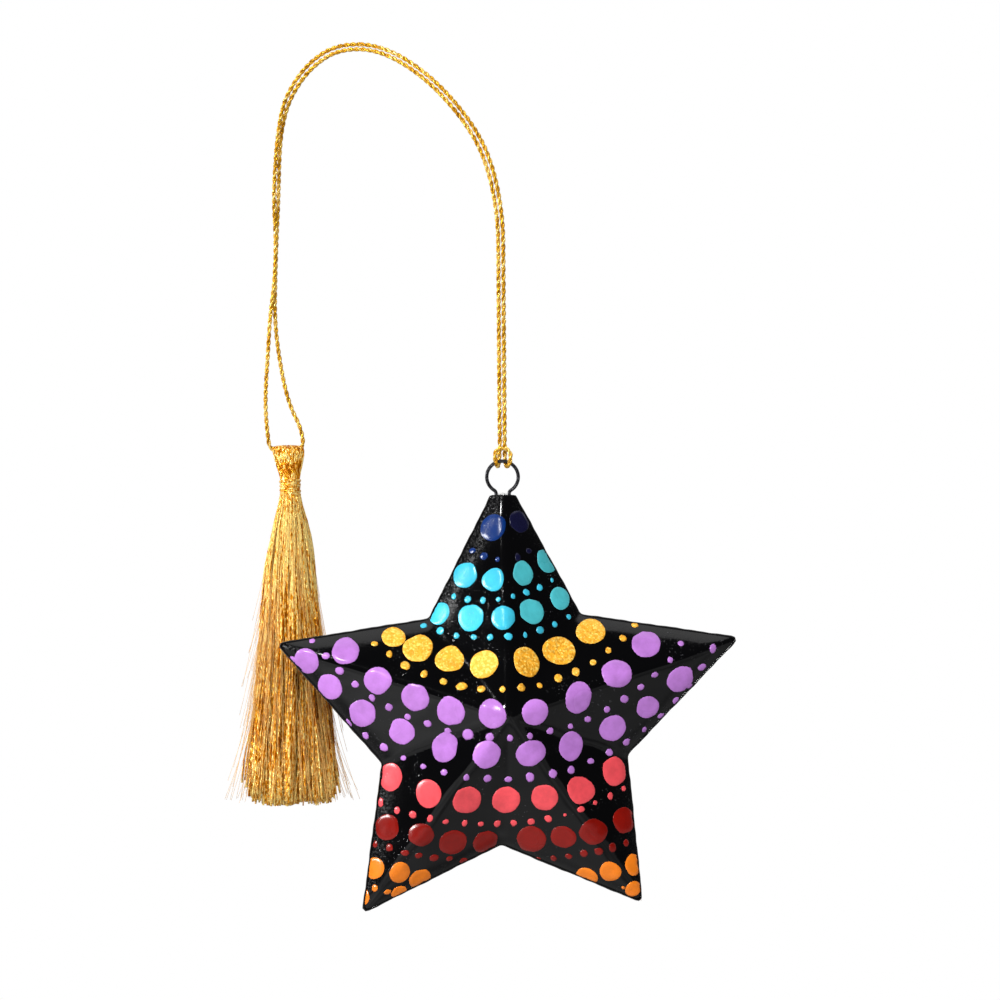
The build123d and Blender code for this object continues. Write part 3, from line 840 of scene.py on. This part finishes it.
def wavy_threads(sizes, rng):
    """Threads of the skirt from the neck to the hem, gathered in locks.

    A thread keeps its place p on a sunflower layout at the neck and drifts to
    its lock's place q below it: p + pull (q - p), times the skirt's radius.
    Each lock leans and sways on its own, and each thread sways a little more.
    """
    count, over = sizes.threads, THREAD_OVER
    own, centres = sunflower(count), sunflower(sizes.locks)
    lock = np.linalg.norm(own[:, None] - centres, axis=-1).argmin(1)
    down = np.linspace(0, 1, THREAD_STATIONS) ** 0.9
    fall = NECK_END_Z + over - HEM_Z
    short = rng.normal(0, LOCK_SHORT, sizes.locks)[lock] + rng.normal(0, OWN_SHORT, count)
    short = short - RARE_SHORT * rng.uniform(0, 1, count) ** RARE_POWER
    short = short - np.where(own[:, 0] < 0, LEFT_SHORT, RIGHT_SHORT) * own[:, 0] ** 2
    drop_mm = down * (fall * np.minimum(1 + short, LONGEST))[:, None]
    past = np.clip(drop_mm - over, 0, None) / (fall - over)
    soon = np.clip(past * LOCK_SOON, 0, 1)
    pull = LOCK_PULL * soon + HEM_PULL * np.clip(past / 0.3 - 2.3, 0, 1) ** 1.5
    place = own[:, None] + pull[..., None] * (centres[lock] - own)[:, None]
    spread = 1 + rng.normal(0, LOCK_SPREAD, sizes.locks)[lock][:, None] * past
    spread = skirt_radius(sizes, past) * spread
    lean = rng.normal(0, LOCK_LEAN, (sizes.locks, 2))[lock][:, None] * past[..., None] ** 2
    lean = lean + rng.normal(0, OWN_LEAN, (count, 1, 2)) * past[..., None] ** 4
    sway = 0
    owners = (lock, sizes.locks), (np.arange(count), count)
    for (least, most, slow, quick), (owner, many) in zip(SWAYS, owners):
        shape = (many, 1, 2)
        size = rng.uniform(least, most, shape)[owner]
        beat = rng.uniform(slow, quick, shape)[owner]
        phase = rng.uniform(0, PHASES, shape)[owner]
        sway = sway + size * np.sin(np.pi * beat * past[..., None] + phase)
    flat = place * spread[..., None] + lean + sway * np.clip(past * SWAY_SOON, 0, 1)[..., None]
    paths = np.concatenate(
        [flat + [TASSEL_X, TASSEL_Y], (NECK_END_Z + over - drop_mm)[..., None]], axis=-1
    )
    face = rng.uniform(0, 2 * np.pi, (count, 1)) + past * rng.normal(0, FACE_TWIST, (count, 1))
    across = np.stack([np.cos(face), np.sin(face), np.zeros_like(face)], axis=-1)
    width = sizes.thread_width / MM * (NECK_THIN + (1 - NECK_THIN) * soon)
    width = width * rng.uniform(*WIDTH_SPREAD, (count, 1))
    shift = rng.uniform(0, FILM_SHIFT, count)
    return tubes(paths, across, width, THREAD_FLAT * width, THREAD_SIDES, shift)


def stray_hairs(sizes, rng):
    """Fine hairs that leave the skirt and curve outwards: radius grows as a power of the depth."""
    count = sizes.strays
    angle = rng.uniform(0, 2 * np.pi, count)[:, None]
    start = rng.uniform(*HAIR_LEAVES, count)[:, None]
    end = np.minimum(start + rng.uniform(*HAIR_RUNS, count)[:, None], 1.0)
    along = np.linspace(0, 1, HAIR_STATIONS)
    past = start + (end - start) * along
    far = HAIR_NEAR + HAIR_FAR * rng.uniform(0, 1, count)[:, None] ** HAIR_RARE
    out = far * end * along**HAIR_CURVE
    angle = angle + rng.normal(0, HAIR_TURN, count)[:, None] * along
    reach = HAIR_START * skirt_radius(sizes, past) + out
    z = NECK_END_Z + past * (HEM_Z - NECK_END_Z)
    paths = np.stack(
        [TASSEL_X + reach * np.cos(angle), TASSEL_Y + reach * np.sin(angle), z], axis=-1
    )
    across = np.broadcast_to([1.0, 0.3, 0.1], paths.shape)
    shift = rng.uniform(0, FILM_SHIFT, count)
    return tubes(paths, across, HAIR_WIDTH, HAIR_WIDTH, HAIR_SIDES, shift)


def head_profile(z):
    """Half width and half depth of the folded head at height z, from the CAD head's box."""
    share = (z - NECK_TOP_Z) / (HEAD_TOP_Z - NECK_TOP_Z)
    return np.interp(share, *HEAD_WIDE), np.interp(share, *HEAD_DEEP)


def folded_head(sizes, rng):
    """Threads folded in layers, two over the cord and two under it, each a loop in its own plane.

    Loop k at share s of the width goes up the front, over the top and down the
    back; its depth is that of an ellipse, deep * sqrt(1 - s^2).
    """
    parts = []
    for layer, (broad, shrink, below) in enumerate(HEAD_LAYERS):
        count = sizes.head_loops - layer % 2
        share = np.linspace(-LOOP_SPAN, LOOP_SPAN, count) + rng.normal(0, LOOP_SLIP, count)
        lap = np.linspace(-1, 1, LOOP_STATIONS)
        rise = 1 - np.abs(lap) ** LOOP_BEND
        low = NECK_TOP_Z - LOOP_UNDER
        z = low + rise * (HEAD_TOP_Z - below - low)
        wide, deep = head_profile(np.maximum(z, NECK_TOP_Z))
        neck = np.clip((z - NECK_TOP_Z + NECK_EASE) / NECK_EASE, 0, 1)
        narrow = NECK_NARROW + (1 - NECK_NARROW) * neck
        bow = np.sqrt(np.clip(1 - share**2, LEAST_BOW, 1))[:, None]
        x = TASSEL_X + broad * (wide - ROOM_WIDE) * narrow * share[:, None]
        x = x + rng.normal(0, LOOP_WAVE, (count, 1)) * np.sin(LOOP_WAVES * lap)
        x = x - HEAD_LEAN * np.clip((z - NECK_TOP_Z) / (HEAD_TOP_Z - NECK_TOP_Z), 0, 1)
        over = np.clip(TOP_STEEP * lap, -1, 1)
        y = TASSEL_Y + over * shrink * (deep - ROOM_DEEP) * narrow * bow
        z = np.broadcast_to(z - LOOP_SAG * np.abs(share)[:, None] ** 3, x.shape)
        paths = np.stack([x, y, z], axis=-1)
        across = np.broadcast_to([1.0, 0.0, 0.0], paths.shape)
        shift = rng.uniform(0, FILM_SHIFT, count)
        parts.append(tubes(paths, across, LOOP_WIDTH, LOOP_THICKNESS, LOOP_SIDES, shift))
    return join(*parts)


def combed_tone(points):
    """Painted highlights and painted shade in the tassel's colour, as bands along its height.

    Each band is amount * exp(-((z - middle) / width)^2): painted highlight over the head's bulge,
    on the upper skirt and near the hem, and painted shade under the bulge. Painted highlight
    streaks run
    along the locks: waves of the angle round the tassel that drift with the height, stronger on the
    upper skirt.
    """
    x, y, z = points.T
    places, waves = np.array(PAINTED_LIGHT_BANDS), np.array(GLINT_STREAKS)
    over = (places[:, 2] * np.exp(-(((z[:, None] - places[:, 0]) / places[:, 1]) ** 2))).sum(-1)
    turn = np.arctan2(y - TASSEL_Y, x - TASSEL_X)[:, None]
    glint_streak = waves[:, 2] * np.sin(waves[:, 0] * turn + waves[:, 1] * z[:, None])
    sheen_boost = 1 + SHEEN_MORE * np.exp(-(((z - SHEEN_Z) / SHEEN_REACH) ** 2))
    return over + glint_streak.sum(-1) * sheen_boost * np.clip((NECK_END_Z - z) / STREAK_START, 0, 1)


def neck_binding(sizes):
    """One thread wound closely round the neck: a helix whose radius eases at both ends."""
    turns = sizes.bind_turns
    t = np.linspace(0, 1, turns * BIND_STEPS + 1)
    width = sizes.bind_width / MM
    radius = BIND_RADIUS + BIND_UNEVEN * np.sin(2 * np.pi * t * turns * BIND_BEAT + 0.4)
    radius = radius + BIND_ENDS * (2 * t - 1) ** 2
    angle = 2 * np.pi * turns * t + BIND_START
    top = NECK_TOP_Z - width / 2
    z = top - (NECK_TOP_Z - NECK_END_Z - width) * t + BIND_WANDER * np.sin(angle + 1.2 + 4 * t)
    out = np.stack([np.cos(angle), np.sin(angle), np.zeros_like(t)], axis=-1)
    path = radius[:, None] * out + np.stack([0 * t + TASSEL_X, 0 * t + TASSEL_Y, z], axis=-1)
    deep, tall = BIND_DEPTH * width, BIND_HEIGHT * width
    return tubes(path[None], out[None], deep, tall, BIND_SIDES, np.zeros(1))


# Materials

# Kinds of a group's sockets, by the type of their defaults
SOCKETS = {type(None): "NodeSocketVector", float: "NodeSocketFloat", tuple: "NodeSocketColor"}


def set_inputs(tree, node, inputs):
    """Give a node its inputs, each a value or a socket to link from."""
    for name, value in inputs.items():
        if isinstance(value, bpy.types.NodeSocket):
            tree.links.new(value, node.inputs[name])
        else:
            node.inputs[name].default_value = value


def add_node(tree, kind, inputs=None, **values):
    """A shader node with its settings and inputs."""
    made = tree.nodes.new(kind)
    for name, value in values.items():
        setattr(made, name, value)
    set_inputs(tree, made, inputs or {})
    return made


def noise(tree, place, scale, detail, **more):
    """Noise at a place."""
    inputs = {"Vector": place, "Scale": scale, "Detail": detail, **more}
    return add_node(tree, "ShaderNodeTexNoise", inputs).outputs["Fac"]


def ramp(tree, value, low=0.0, high=1.0, to_low=0.0, to_high=1.0, **values):
    """The range from low to high turned into that from to_low to to_high."""
    inputs = {"Value": value, "From Min": low, "From Max": high}
    inputs.update({"To Min": to_low, "To Max": to_high})
    return add_node(tree, "ShaderNodeMapRange", inputs, **values).outputs["Result"]


def maths(tree, operation, *values):
    """The output of one Math node."""
    return add_node(tree, "ShaderNodeMath", dict(enumerate(values)), operation=operation).outputs[0]


def mixed(tree, factor, low, high):
    """A colour between two, each a socket or its red, green and blue."""
    low, high = ((*c, 1) if isinstance(c, tuple) else c for c in (low, high))
    mix = add_node(tree, "ShaderNodeMix", {"Factor": factor, "A": low, "B": high}, data_type="RGBA")
    return next(s for s in mix.outputs if s.type == "RGBA")


def bump(tree, height, strength, distance):
    """A normal from a height, with the distance in millimetres."""
    inputs = {"Height": height, "Strength": strength, "Distance": distance * MM}
    return add_node(tree, "ShaderNodeBump", inputs).outputs["Normal"]


def new_group(name, inputs, outputs):
    """An empty shader group, and the sockets of its input and its output node.

    Each socket comes with its default: nothing for a vector, a number or a colour.
    """
    group = bpy.data.node_groups.new(name, "ShaderNodeTree")
    for way, sockets in (("INPUT", inputs), ("OUTPUT", outputs)):
        for socket, value in sockets.items():
            made = group.interface.new_socket(socket, in_out=way, socket_type=SOCKETS[type(value)])
            if value is not None:
                made.default_value = value
    return group, group.nodes.new("NodeGroupInput").outputs, group.nodes.new("NodeGroupOutput")


def brushed_varnish(name):
    """Brushed varnish: soft ripples, fine specks and uneven gloss."""
    group, given, result = new_group(
        name,
        {"Place": None, "Dull": 0.1, "Shiny": 0.25, "Speck": 0.5, "Wear": 0.0},
        {"Height": 0.0, "Roughness": 0.0, "Specks": 0.0},
    )
    ripple = noise(group, given["Place"], 420, 3)
    grain = noise(group, given["Place"], 2600, 2)
    patch = noise(group, given["Place"], 130, 2)
    speck, lone = ramp(group, grain, 0.66, 0.74), ramp(group, patch, 0.5, 0.62)
    spotted = maths(group, "MULTIPLY", speck, lone)
    raised = maths(group, "MULTIPLY", spotted, given["Speck"])
    gloss = ramp(group, patch, 0.3, 0.7, given["Shiny"], given["Dull"])
    dusty = ramp(group, grain, 0.3, 0.7, to_high=0.3)
    set_inputs(group, result, {
        "Height": maths(group, "ADD", ripple, raised),
        "Roughness": maths(group, "MULTIPLY_ADD", dusty, given["Wear"], gloss),
        "Specks": spotted,
    })
    return group


def dabbed_mottle(name):
    """Uneven cover of hand-dabbed paint: cloudy patches and one tone for each dot."""
    group, given, result = new_group(
        name,
        {"Place": None, "Colour": (1, 1, 1, 1), "Deep": (0, 0, 0, 1), "Tone": 0.5, "Scale": 500.0},
        {"Colour": (0, 0, 0, 1)},
    )
    cloud = noise(group, given["Place"], given["Scale"], 4, Roughness=0.65)
    own = maths(group, "MULTIPLY", given["Tone"], 0.55)
    both = maths(group, "MULTIPLY_ADD", ramp(group, cloud, 0.35, 0.72), 0.45, own)
    set_inputs(group, result, {"Colour": mixed(group, both, given["Colour"], given["Deep"])})
    return group


def wound_film(name):
    """Metallic film wound round a thread: slanted turns and random flats along it; Light, from the
    flats and a slow noise, sets painted glints and painted shade in the thread's colour.
    """
    group, given, result = new_group(
        name,
        {"Along": None, "Turns": 2.0, "Flats": 1.0},
        {"Height": 0.0, "Light": 0.0, "Roughness": 0.0},
    )
    split = add_node(group, "ShaderNodeSeparateXYZ", {"Vector": given["Along"]}).outputs
    pitch = maths(group, "MULTIPLY_ADD", split["Y"], given["Turns"], split["X"])
    wave = maths(group, "PINGPONG", pitch, 1.0)
    place = add_node(group, "ShaderNodeCombineXYZ", {"X": split["X"], "Y": split["Y"]}).outputs[0]
    flats = noise(group, place, given["Flats"], 2, Roughness=0.6)
    slow = noise(group, place, 0.17, 1)
    set_inputs(group, result, {
        "Height": maths(group, "MULTIPLY_ADD", flats, 1.6, wave),
        "Light": ramp(group, maths(group, "ADD", slow, flats), 0.8, 1.22),
        "Roughness": ramp(group, flats, 0.3, 0.7, 0.4, 0.18),
    })
    return group


def new_material(name):
    """A node material: its tree and its Principled node."""
    material = bpy.data.materials.new(name)
    material.use_nodes = True
    return material, material.node_tree, material.node_tree.nodes["Principled BSDF"]


def place_of(tree):
    """Object coordinates, in metres in the frame."""
    return add_node(tree, "ShaderNodeTexCoord").outputs["Object"]


def tone_of(tree):
    """The tone that add_piece stores with each point."""
    return add_node(tree, "ShaderNodeAttribute", attribute_name="tone").outputs["Fac"]


def use_group(tree, build, inputs):
    """The outputs of a group named after its builder, which runs the first time only."""
    name = build.__name__
    group = bpy.data.node_groups.get(name) or build(name)
    return add_node(tree, "ShaderNodeGroup", inputs, node_tree=group).outputs


def lacquer_material():
    """Black lacquer under brushed varnish, with pale specks of dust."""
    material, tree, shader = new_material("black_lacquer")
    coat = use_group(tree, brushed_varnish, {
        "Place": place_of(tree), "Shiny": 0.05, "Dull": 0.1, "Speck": 2.0, "Wear": tone_of(tree),
    })
    set_inputs(tree, shader, {
        "Base Color": mixed(tree, coat["Specks"], tuple(settings().paints.lacquer), DUST),
        "Roughness": coat["Roughness"],
        "Normal": bump(tree, coat["Height"], 0.22, 0.12),
    })
    return material


def paint_material(name):
    """Dabbed paint of one colour under the same varnish."""
    base = tuple(getattr(settings().paints, name))
    material, tree, shader = new_material(f"{name}_paint")
    place = place_of(tree)
    cover = use_group(tree, dabbed_mottle, {
        "Place": place, "Colour": (*base, 1), "Deep": (*(PAINT_DEEP * c for c in base), 1),
        "Tone": tone_of(tree), "Scale": 620,
    })
    varnish = {"Place": place, "Shiny": 0.16, "Dull": 0.3, "Speck": 1.5}
    coat = use_group(tree, brushed_varnish, varnish)
    set_inputs(tree, shader, {
        "Base Color": cover["Colour"],
        "Roughness": coat["Roughness"],
        "Normal": bump(tree, coat["Height"], 0.2, 0.1),
    })
    return material


def glitter_material():
    """Gold paint full of fine flakes: each Voronoi cell has its own tilt and tint."""
    material, tree, shader = new_material("gold_paint")
    flakes = add_node(tree, "ShaderNodeTexVoronoi", {"Vector": place_of(tree), "Scale": 3600})
    apart = add_node(tree, "ShaderNodeSeparateColor", {"Color": flakes.outputs["Color"]}).outputs
    bright = ramp(tree, apart["Red"], 0.55, 1.0)
    set_inputs(tree, shader, {
        "Base Color": mixed(tree, bright, tuple(settings().paints.gold), FLAKE),
        "Metallic": ramp(tree, apart["Green"], 0.3, 0.9, 0.0, 0.5),
        "Roughness": 0.34,
        "Normal": bump(tree, apart["Blue"], 0.35, 0.08),
    })
    return material


def thread_material(name, tint, pale, metal, sparkle, turns, flats, strength):
    """Gold metallic thread: painted shade in warm dark hollows and painted pale glints, set from
    the wound film's Light, the tone and painted sparkle.
    """
    material, tree, shader = new_material(name)
    uv = add_node(tree, "ShaderNodeUVMap", uv_map="along").outputs["UV"]
    film = use_group(tree, wound_film, {"Along": uv, "Turns": turns, "Flats": flats})
    light = maths(tree, "ADD", film["Light"], tone_of(tree))
    # Painted sparkle: fine noise adds painted glints and painted shade to the light.
    if sparkle:
        places = {0: place_of(tree), 1: SPARKLE_SCALE}
        fine = add_node(tree, "ShaderNodeVectorMath", places, operation="MULTIPLY").outputs[0]
        glint = ramp(tree, noise(tree, fine, 1.0, 1), 0.35, 0.65, -sparkle, sparkle)
        light = maths(tree, "ADD", light, glint)
    # Painted shade where the light is low, the tint in the middle, and painted pale glints where it
    # is high.
    painted_shade = tuple(share * c for share, c in zip(PAINTED_SHADE_SHARES, tint))
    body = mixed(tree, ramp(tree, light, high=TINT_PLACE), painted_shade, tint)
    set_inputs(tree, shader, {
        "Base Color": mixed(tree, ramp(tree, light, TINT_PLACE), body, pale),
        "Roughness": film["Roughness"],
        "Metallic": metal,
        "Specular IOR Level": 0.1,
        "Normal": bump(tree, film["Height"], strength, 0.2),
    })
    return material


def hair_material(tint):
    """Pale stray hair, thin enough to let light through."""
    material, tree, shader = new_material("gold_hair")
    patch = noise(tree, place_of(tree), 300, 2)
    set_inputs(tree, shader, {
        "Base Color": mixed(tree, patch, tuple(HAIR_DEEP * c for c in tint), tint),
        "Roughness": 0.45,
        "Alpha": 0.75,
    })
    return material


def wire_material():
    """Dark wire with drawn lines and a worn sheen."""
    material, tree, shader = new_material("dark_wire")
    grain = noise(tree, place_of(tree), 2400, 3)
    set_inputs(tree, shader, {
        "Base Color": mixed(tree, ramp(tree, grain, 0.45, 0.75), WIRE_DARK, WIRE_WORN),
        "Roughness": ramp(tree, grain, to_low=0.18, to_high=0.45),
        "Metallic": 0.6,
        "Normal": bump(tree, grain, 0.15, 0.05),
    })
    return material


def solder_material():
    """Grey solder with a frosted grain."""
    material, tree, shader = new_material("frosted_solder")
    grain = noise(tree, place_of(tree), 1500, 4)
    set_inputs(tree, shader, {
        "Base Color": mixed(tree, grain, SOLDER_GREY, SOLDER_PALE),
        "Roughness": ramp(tree, grain, to_low=0.3, to_high=0.6),
        "Metallic": 0.4,
        "Normal": bump(tree, grain, 0.4, 0.15),
    })
    return material


# Operators


class ORNAMENT_OT_star(bpy.types.Operator):
    """Add the two pressed halves of the star and the solder between them"""

    bl_idname = "ornament.star"
    bl_label = "Tin Star"

    def execute(self, context):
        sizes = settings().star
        form = StarForm(sizes)
        lacquer = lacquer_material()
        for name, side in (("front", 1), ("back", -1)):
            points, faces, wear = pressed_half(form, side)
            half = add_piece(f"star_{name}_skin", points, faces, lacquer, tone=wear)
            wall = half.modifiers.new("sheet", "SOLIDIFY")
            wall.thickness = sizes.sheet
            wall.offset = -1
            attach(half, "star")
            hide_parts(f"star_{name}_shell")
        bead = add_piece("rim_solder", *solder_bead(form, sizes), lacquer)
        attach(bead, "star")
        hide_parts("rim_seam_bead")
        return {"FINISHED"}


class ORNAMENT_OT_dots(bpy.types.Operator):
    """Add the rows of painted dots on both sides of the star"""

    bl_idname = "ornament.dots"
    bl_label = "Painted Dots"

    def execute(self, context):
        sizes = settings().star
        form = StarForm(sizes)
        rng = np.random.default_rng(7)
        for paint in PAINTS:
            made = []
            for row in (r for r in DOT_ROWS if r[0] == paint):
                for side in (1, -1):
                    u, v, radius = row_of_dots(form, row, rng)
                    if len(u):
                        thick = sizes.paint / MM
                        made.append(draped_dots(form, side * u, v, radius, side, thick, rng))
            points, faces, tones = join(*made)
            material = glitter_material() if paint == "gold" else paint_material(paint)
            dots = add_piece(f"{paint}_dots", points, faces, material, tone=tones)
            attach(dots, "star")
        return {"FINISHED"}


class ORNAMENT_OT_hanger(bpy.types.Operator):
    """Finish the wire ring and the solder that holds it"""

    bl_idname = "ornament.hanger"
    bl_label = "Wire Ring"

    def execute(self, context):
        solder = solder_material()
        for node, material in (("hanger_ring", wire_material()), ("tip_solder", solder)):
            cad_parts[node].material_slots[0].material = material
        dome = add_piece("tip_dome", *solder_dome(settings().star), solder)
        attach(dome, "star")
        return {"FINISHED"}


class ORNAMENT_OT_cord(bpy.types.Operator):
    """Add the twisted cord on both sides of its crown"""

    bl_idname = "ornament.cord"
    bl_label = "Twisted Cord"

    def execute(self, context):
        sizes = settings().cord
        # The cord's colour holds painted shade in its hollows and painted pale glints.
        gold = thread_material("gold_cord", tuple(sizes.tint), *CORD_FINISH_AND_GLINTS)
        hitch = [(FALL_X + x, FALL_Y + y, RING_TOP + z) for x, y, z in HITCH_HALF]
        other = [(FALL_X - x, FALL_Y + y, RING_TOP + z) for x, y, z in HITCH_HALF[::-1]]
        inner, outer = drawn_together(STAR_SIDE_INNER, STAR_SIDE_OUTER, TOUCHING)
        star_side = [*inner, *hitch, *other, *outer[::-1]]
        shares = np.where(np.arange(len(TASSEL_INNER)) < TASSEL_PARTS, TOUCHING, 1.0)
        inner, outer = drawn_together(TASSEL_INNER, TASSEL_OUTER, shares)
        tassel_side = [*inner, *outer[::-1]]
        swing = {
            "star_side_cord": ("star_fall", STAR_PIVOT, star_side,
                               ("cord_fall_left", "cord_fall_right", "cord_hitch",
                                "cord_arch_inner", "cord_arch_outer")),
            "tassel_side_cord": ("tassel_fall", TASSEL_PIVOT, tassel_side,
                                 ("cord_tassel_loop",)),
        }
        for name, (body, pivot, route, nodes) in swing.items():
            line, total = spline_points(name, route)
            points, faces, corners = twisted_cord(line, total, sizes)
            cord = add_piece(name, points, faces, gold, corners, np.full(len(points), CORD_TONE))
            pivot = Vector(pivot) * MM
            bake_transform(cord)
            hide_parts(*nodes)
        return {"FINISHED"}


class ORNAMENT_OT_tassel(bpy.types.Operator):
    """Add the tassel: folded head, binding, skirt and stray hairs"""

    bl_idname = "ornament.tassel"
    bl_label = "Tassel"

    def execute(self, context):
        sizes = settings().tassel
        rng = np.random.default_rng(11)
        # The tassel's thread colour holds painted shade in its hollows, painted pale glints and
        # painted sparkle.
        loose = thread_material("gold_thread", tuple(sizes.tint), *THREAD_FINISH_AND_GLINTS)
        hair = hair_material(tuple(sizes.hair))
        pieces = {
            "tassel_folds": (folded_head(sizes, rng), loose, "tassel_head"),
            "tassel_wrap": (neck_binding(sizes), loose, "tassel_binding"),
            "tassel_threads": (wavy_threads(sizes, rng), loose, "tassel_skirt"),
            "tassel_strays": (stray_hairs(sizes, rng), hair, None),
        }
        for name, ((points, faces, corners), material, node) in pieces.items():
            # The tone holds painted highlights, painted shade and painted highlight streaks along
            # the tassel.
            piece = add_piece(name, points, faces, material, corners, combed_tone(points))
            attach(piece, "tassel")
            if node:
                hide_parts(node)
        return {"FINISHED"}


class ORNAMENT_OT_stage(bpy.types.Operator):
    """Add the pale floor, the soft lights, the room and the camera"""

    bl_idname = "ornament.stage"
    bl_label = "Stage"

    def execute(self, context):
        stage = settings().stage
        star = Vector(STAR_MIDDLE) * MM
        add_floor(stage)
        for name, (size, offset) in LIGHTS.items():
            power = getattr(stage, f"{name}_power")
            light = add_light(name, power, size, star + Vector(offset), star)
            light.visible_glossy = name != "fill"
        add_room(stage)
        add_camera(stage)
        context.scene.view_settings.view_transform = "Standard"
        return {"FINISHED"}


def add_floor(stage):
    """A wide round floor far under the ornament, paler to the left, with soft shading."""
    angle = np.linspace(0, 2 * np.pi, FLOOR_SIDES, endpoint=False)
    round_it = FLOOR_RADIUS * np.stack([np.cos(angle), np.sin(angle)], axis=-1)
    points = np.c_[round_it, np.full(FLOOR_SIDES, FLOOR_Z)]
    material, tree, shader = new_material("pale_floor")
    place = place_of(tree)
    side = add_node(tree, "ShaderNodeSeparateXYZ", {"Vector": place}).outputs["X"]
    pale = ramp(tree, side, -0.15, 0.25, 1.0, 0.5)
    glow = stage.floor_glow
    cloudy = ramp(tree, noise(tree, place, 6.0, 1), 0.3, 0.7, 0.4 * glow, 1.3 * glow)
    set_inputs(tree, shader, {
        "Base Color": (0, 0, 0, 1),
        "Specular IOR Level": 0.0,
        "Emission Color": (1, 1, 1, 1),
        "Emission Strength": seen_or(tree, maths(tree, "MULTIPLY", pale, cloudy)),
    })
    add_piece("floor", points, [list(range(FLOOR_SIDES))], material)


def add_light(name, power, size, place, target):
    """A soft rectangular light that faces the target."""
    light = bpy.data.lights.new(name, "AREA")
    light.shape = "RECTANGLE"
    light.size, light.size_y = size
    light.energy = power
    holder = bpy.data.objects.new(name, light)
    holder.location = place
    holder.rotation_euler = (target - place).to_track_quat("-Z", "Y").to_euler()
    bpy.context.scene.collection.objects.link(holder)
    return holder


def add_room(stage):
    """White to the camera, and to everything else a dim room with a bright wall behind."""
    world = bpy.data.worlds.new("room")
    world.use_nodes = True
    tree = world.node_tree
    way = add_node(tree, "ShaderNodeTexCoord").outputs["Generated"]
    behind = add_node(tree, "ShaderNodeSeparateXYZ", {"Vector": way}).outputs["Y"]
    glows = (stage.room_glow, stage.back_glow)
    glow = ramp(tree, behind, 0.15, 0.6, *glows, interpolation_type="SMOOTHSTEP")
    back = {"Color": (1, 1, 1, 1), "Strength": seen_or(tree, glow)}
    set_inputs(tree, tree.nodes["Background"], back)
    bpy.context.scene.world = world


def seen_or(tree, glow):
    """Brightness 1 where the camera looks straight at it, and glow for other rays."""
    seen = add_node(tree, "ShaderNodeLightPath").outputs["Is Camera Ray"]
    return ramp(tree, seen, to_low=glow)


def add_camera(stage):
    """A long lens at the height of the star, slightly under it and to the left."""
    a, e = stage.azimuth, stage.elevation
    ahead = Vector((-math.sin(a) * math.cos(e), math.cos(a) * math.cos(e), -math.sin(e)))
    right = ahead.cross(Vector((0, 0, 1))).normalized()
    up = right.cross(ahead)
    c, s = math.cos(stage.roll), math.sin(stage.roll)
    right, up = c * right + s * up, c * up - s * right
    target = Vector(CAMERA_TARGET) * MM
    data = bpy.data.cameras.new("camera")
    data.lens = stage.lens
    data.sensor_width = SENSOR
    data.clip_start, data.clip_end = 0.01, 20
    camera = bpy.data.objects.new("camera", data)
    axes = Matrix((right, up, -ahead)).transposed().to_4x4()
    camera.matrix_world = Matrix.Translation(target - ahead * stage.distance) @ axes
    bpy.context.scene.collection.objects.link(camera)
    bpy.context.scene.camera = camera


class ORNAMENT_PT_panel(bpy.types.Panel):
    """Sidebar list of the ornament's pieces."""

    bl_idname = "ORNAMENT_PT_panel"
    bl_label = "Tin Star Ornament"
    bl_space_type = "VIEW_3D"
    bl_region_type = "UI"
    bl_category = "Ornament"

    def draw(self, context):
        for operator in OPERATORS:
            self.layout.operator(operator.bl_idname)


OPERATORS = (
    ORNAMENT_OT_stage,
    ORNAMENT_OT_cord,
    ORNAMENT_OT_star,
    ORNAMENT_OT_dots,
    ORNAMENT_OT_hanger,
    ORNAMENT_OT_tassel,
)
CLASSES = (
    StarSizes,
    PaintColours,
    CordSizes,
    TasselSizes,
    StageSettings,
    OrnamentSettings,
    *OPERATORS,
    ORNAMENT_PT_panel,
)


def register():
    for made in CLASSES:
        bpy.utils.register_class(made)
    bpy.types.Scene.tin_star = PointerProperty(type=OrnamentSettings)


def unregister():
    del bpy.types.Scene.tin_star
    for made in reversed(CLASSES):
        bpy.utils.unregister_class(made)


def main():
    """Register the add-on and build every piece."""
    register()
    bpy.ops.ornament.stage()
    bpy.ops.ornament.cord()
    bpy.ops.ornament.star()
    bpy.ops.ornament.dots()
    bpy.ops.ornament.hanger()
    bpy.ops.ornament.tassel()


if __name__ == "__main__":
    main()
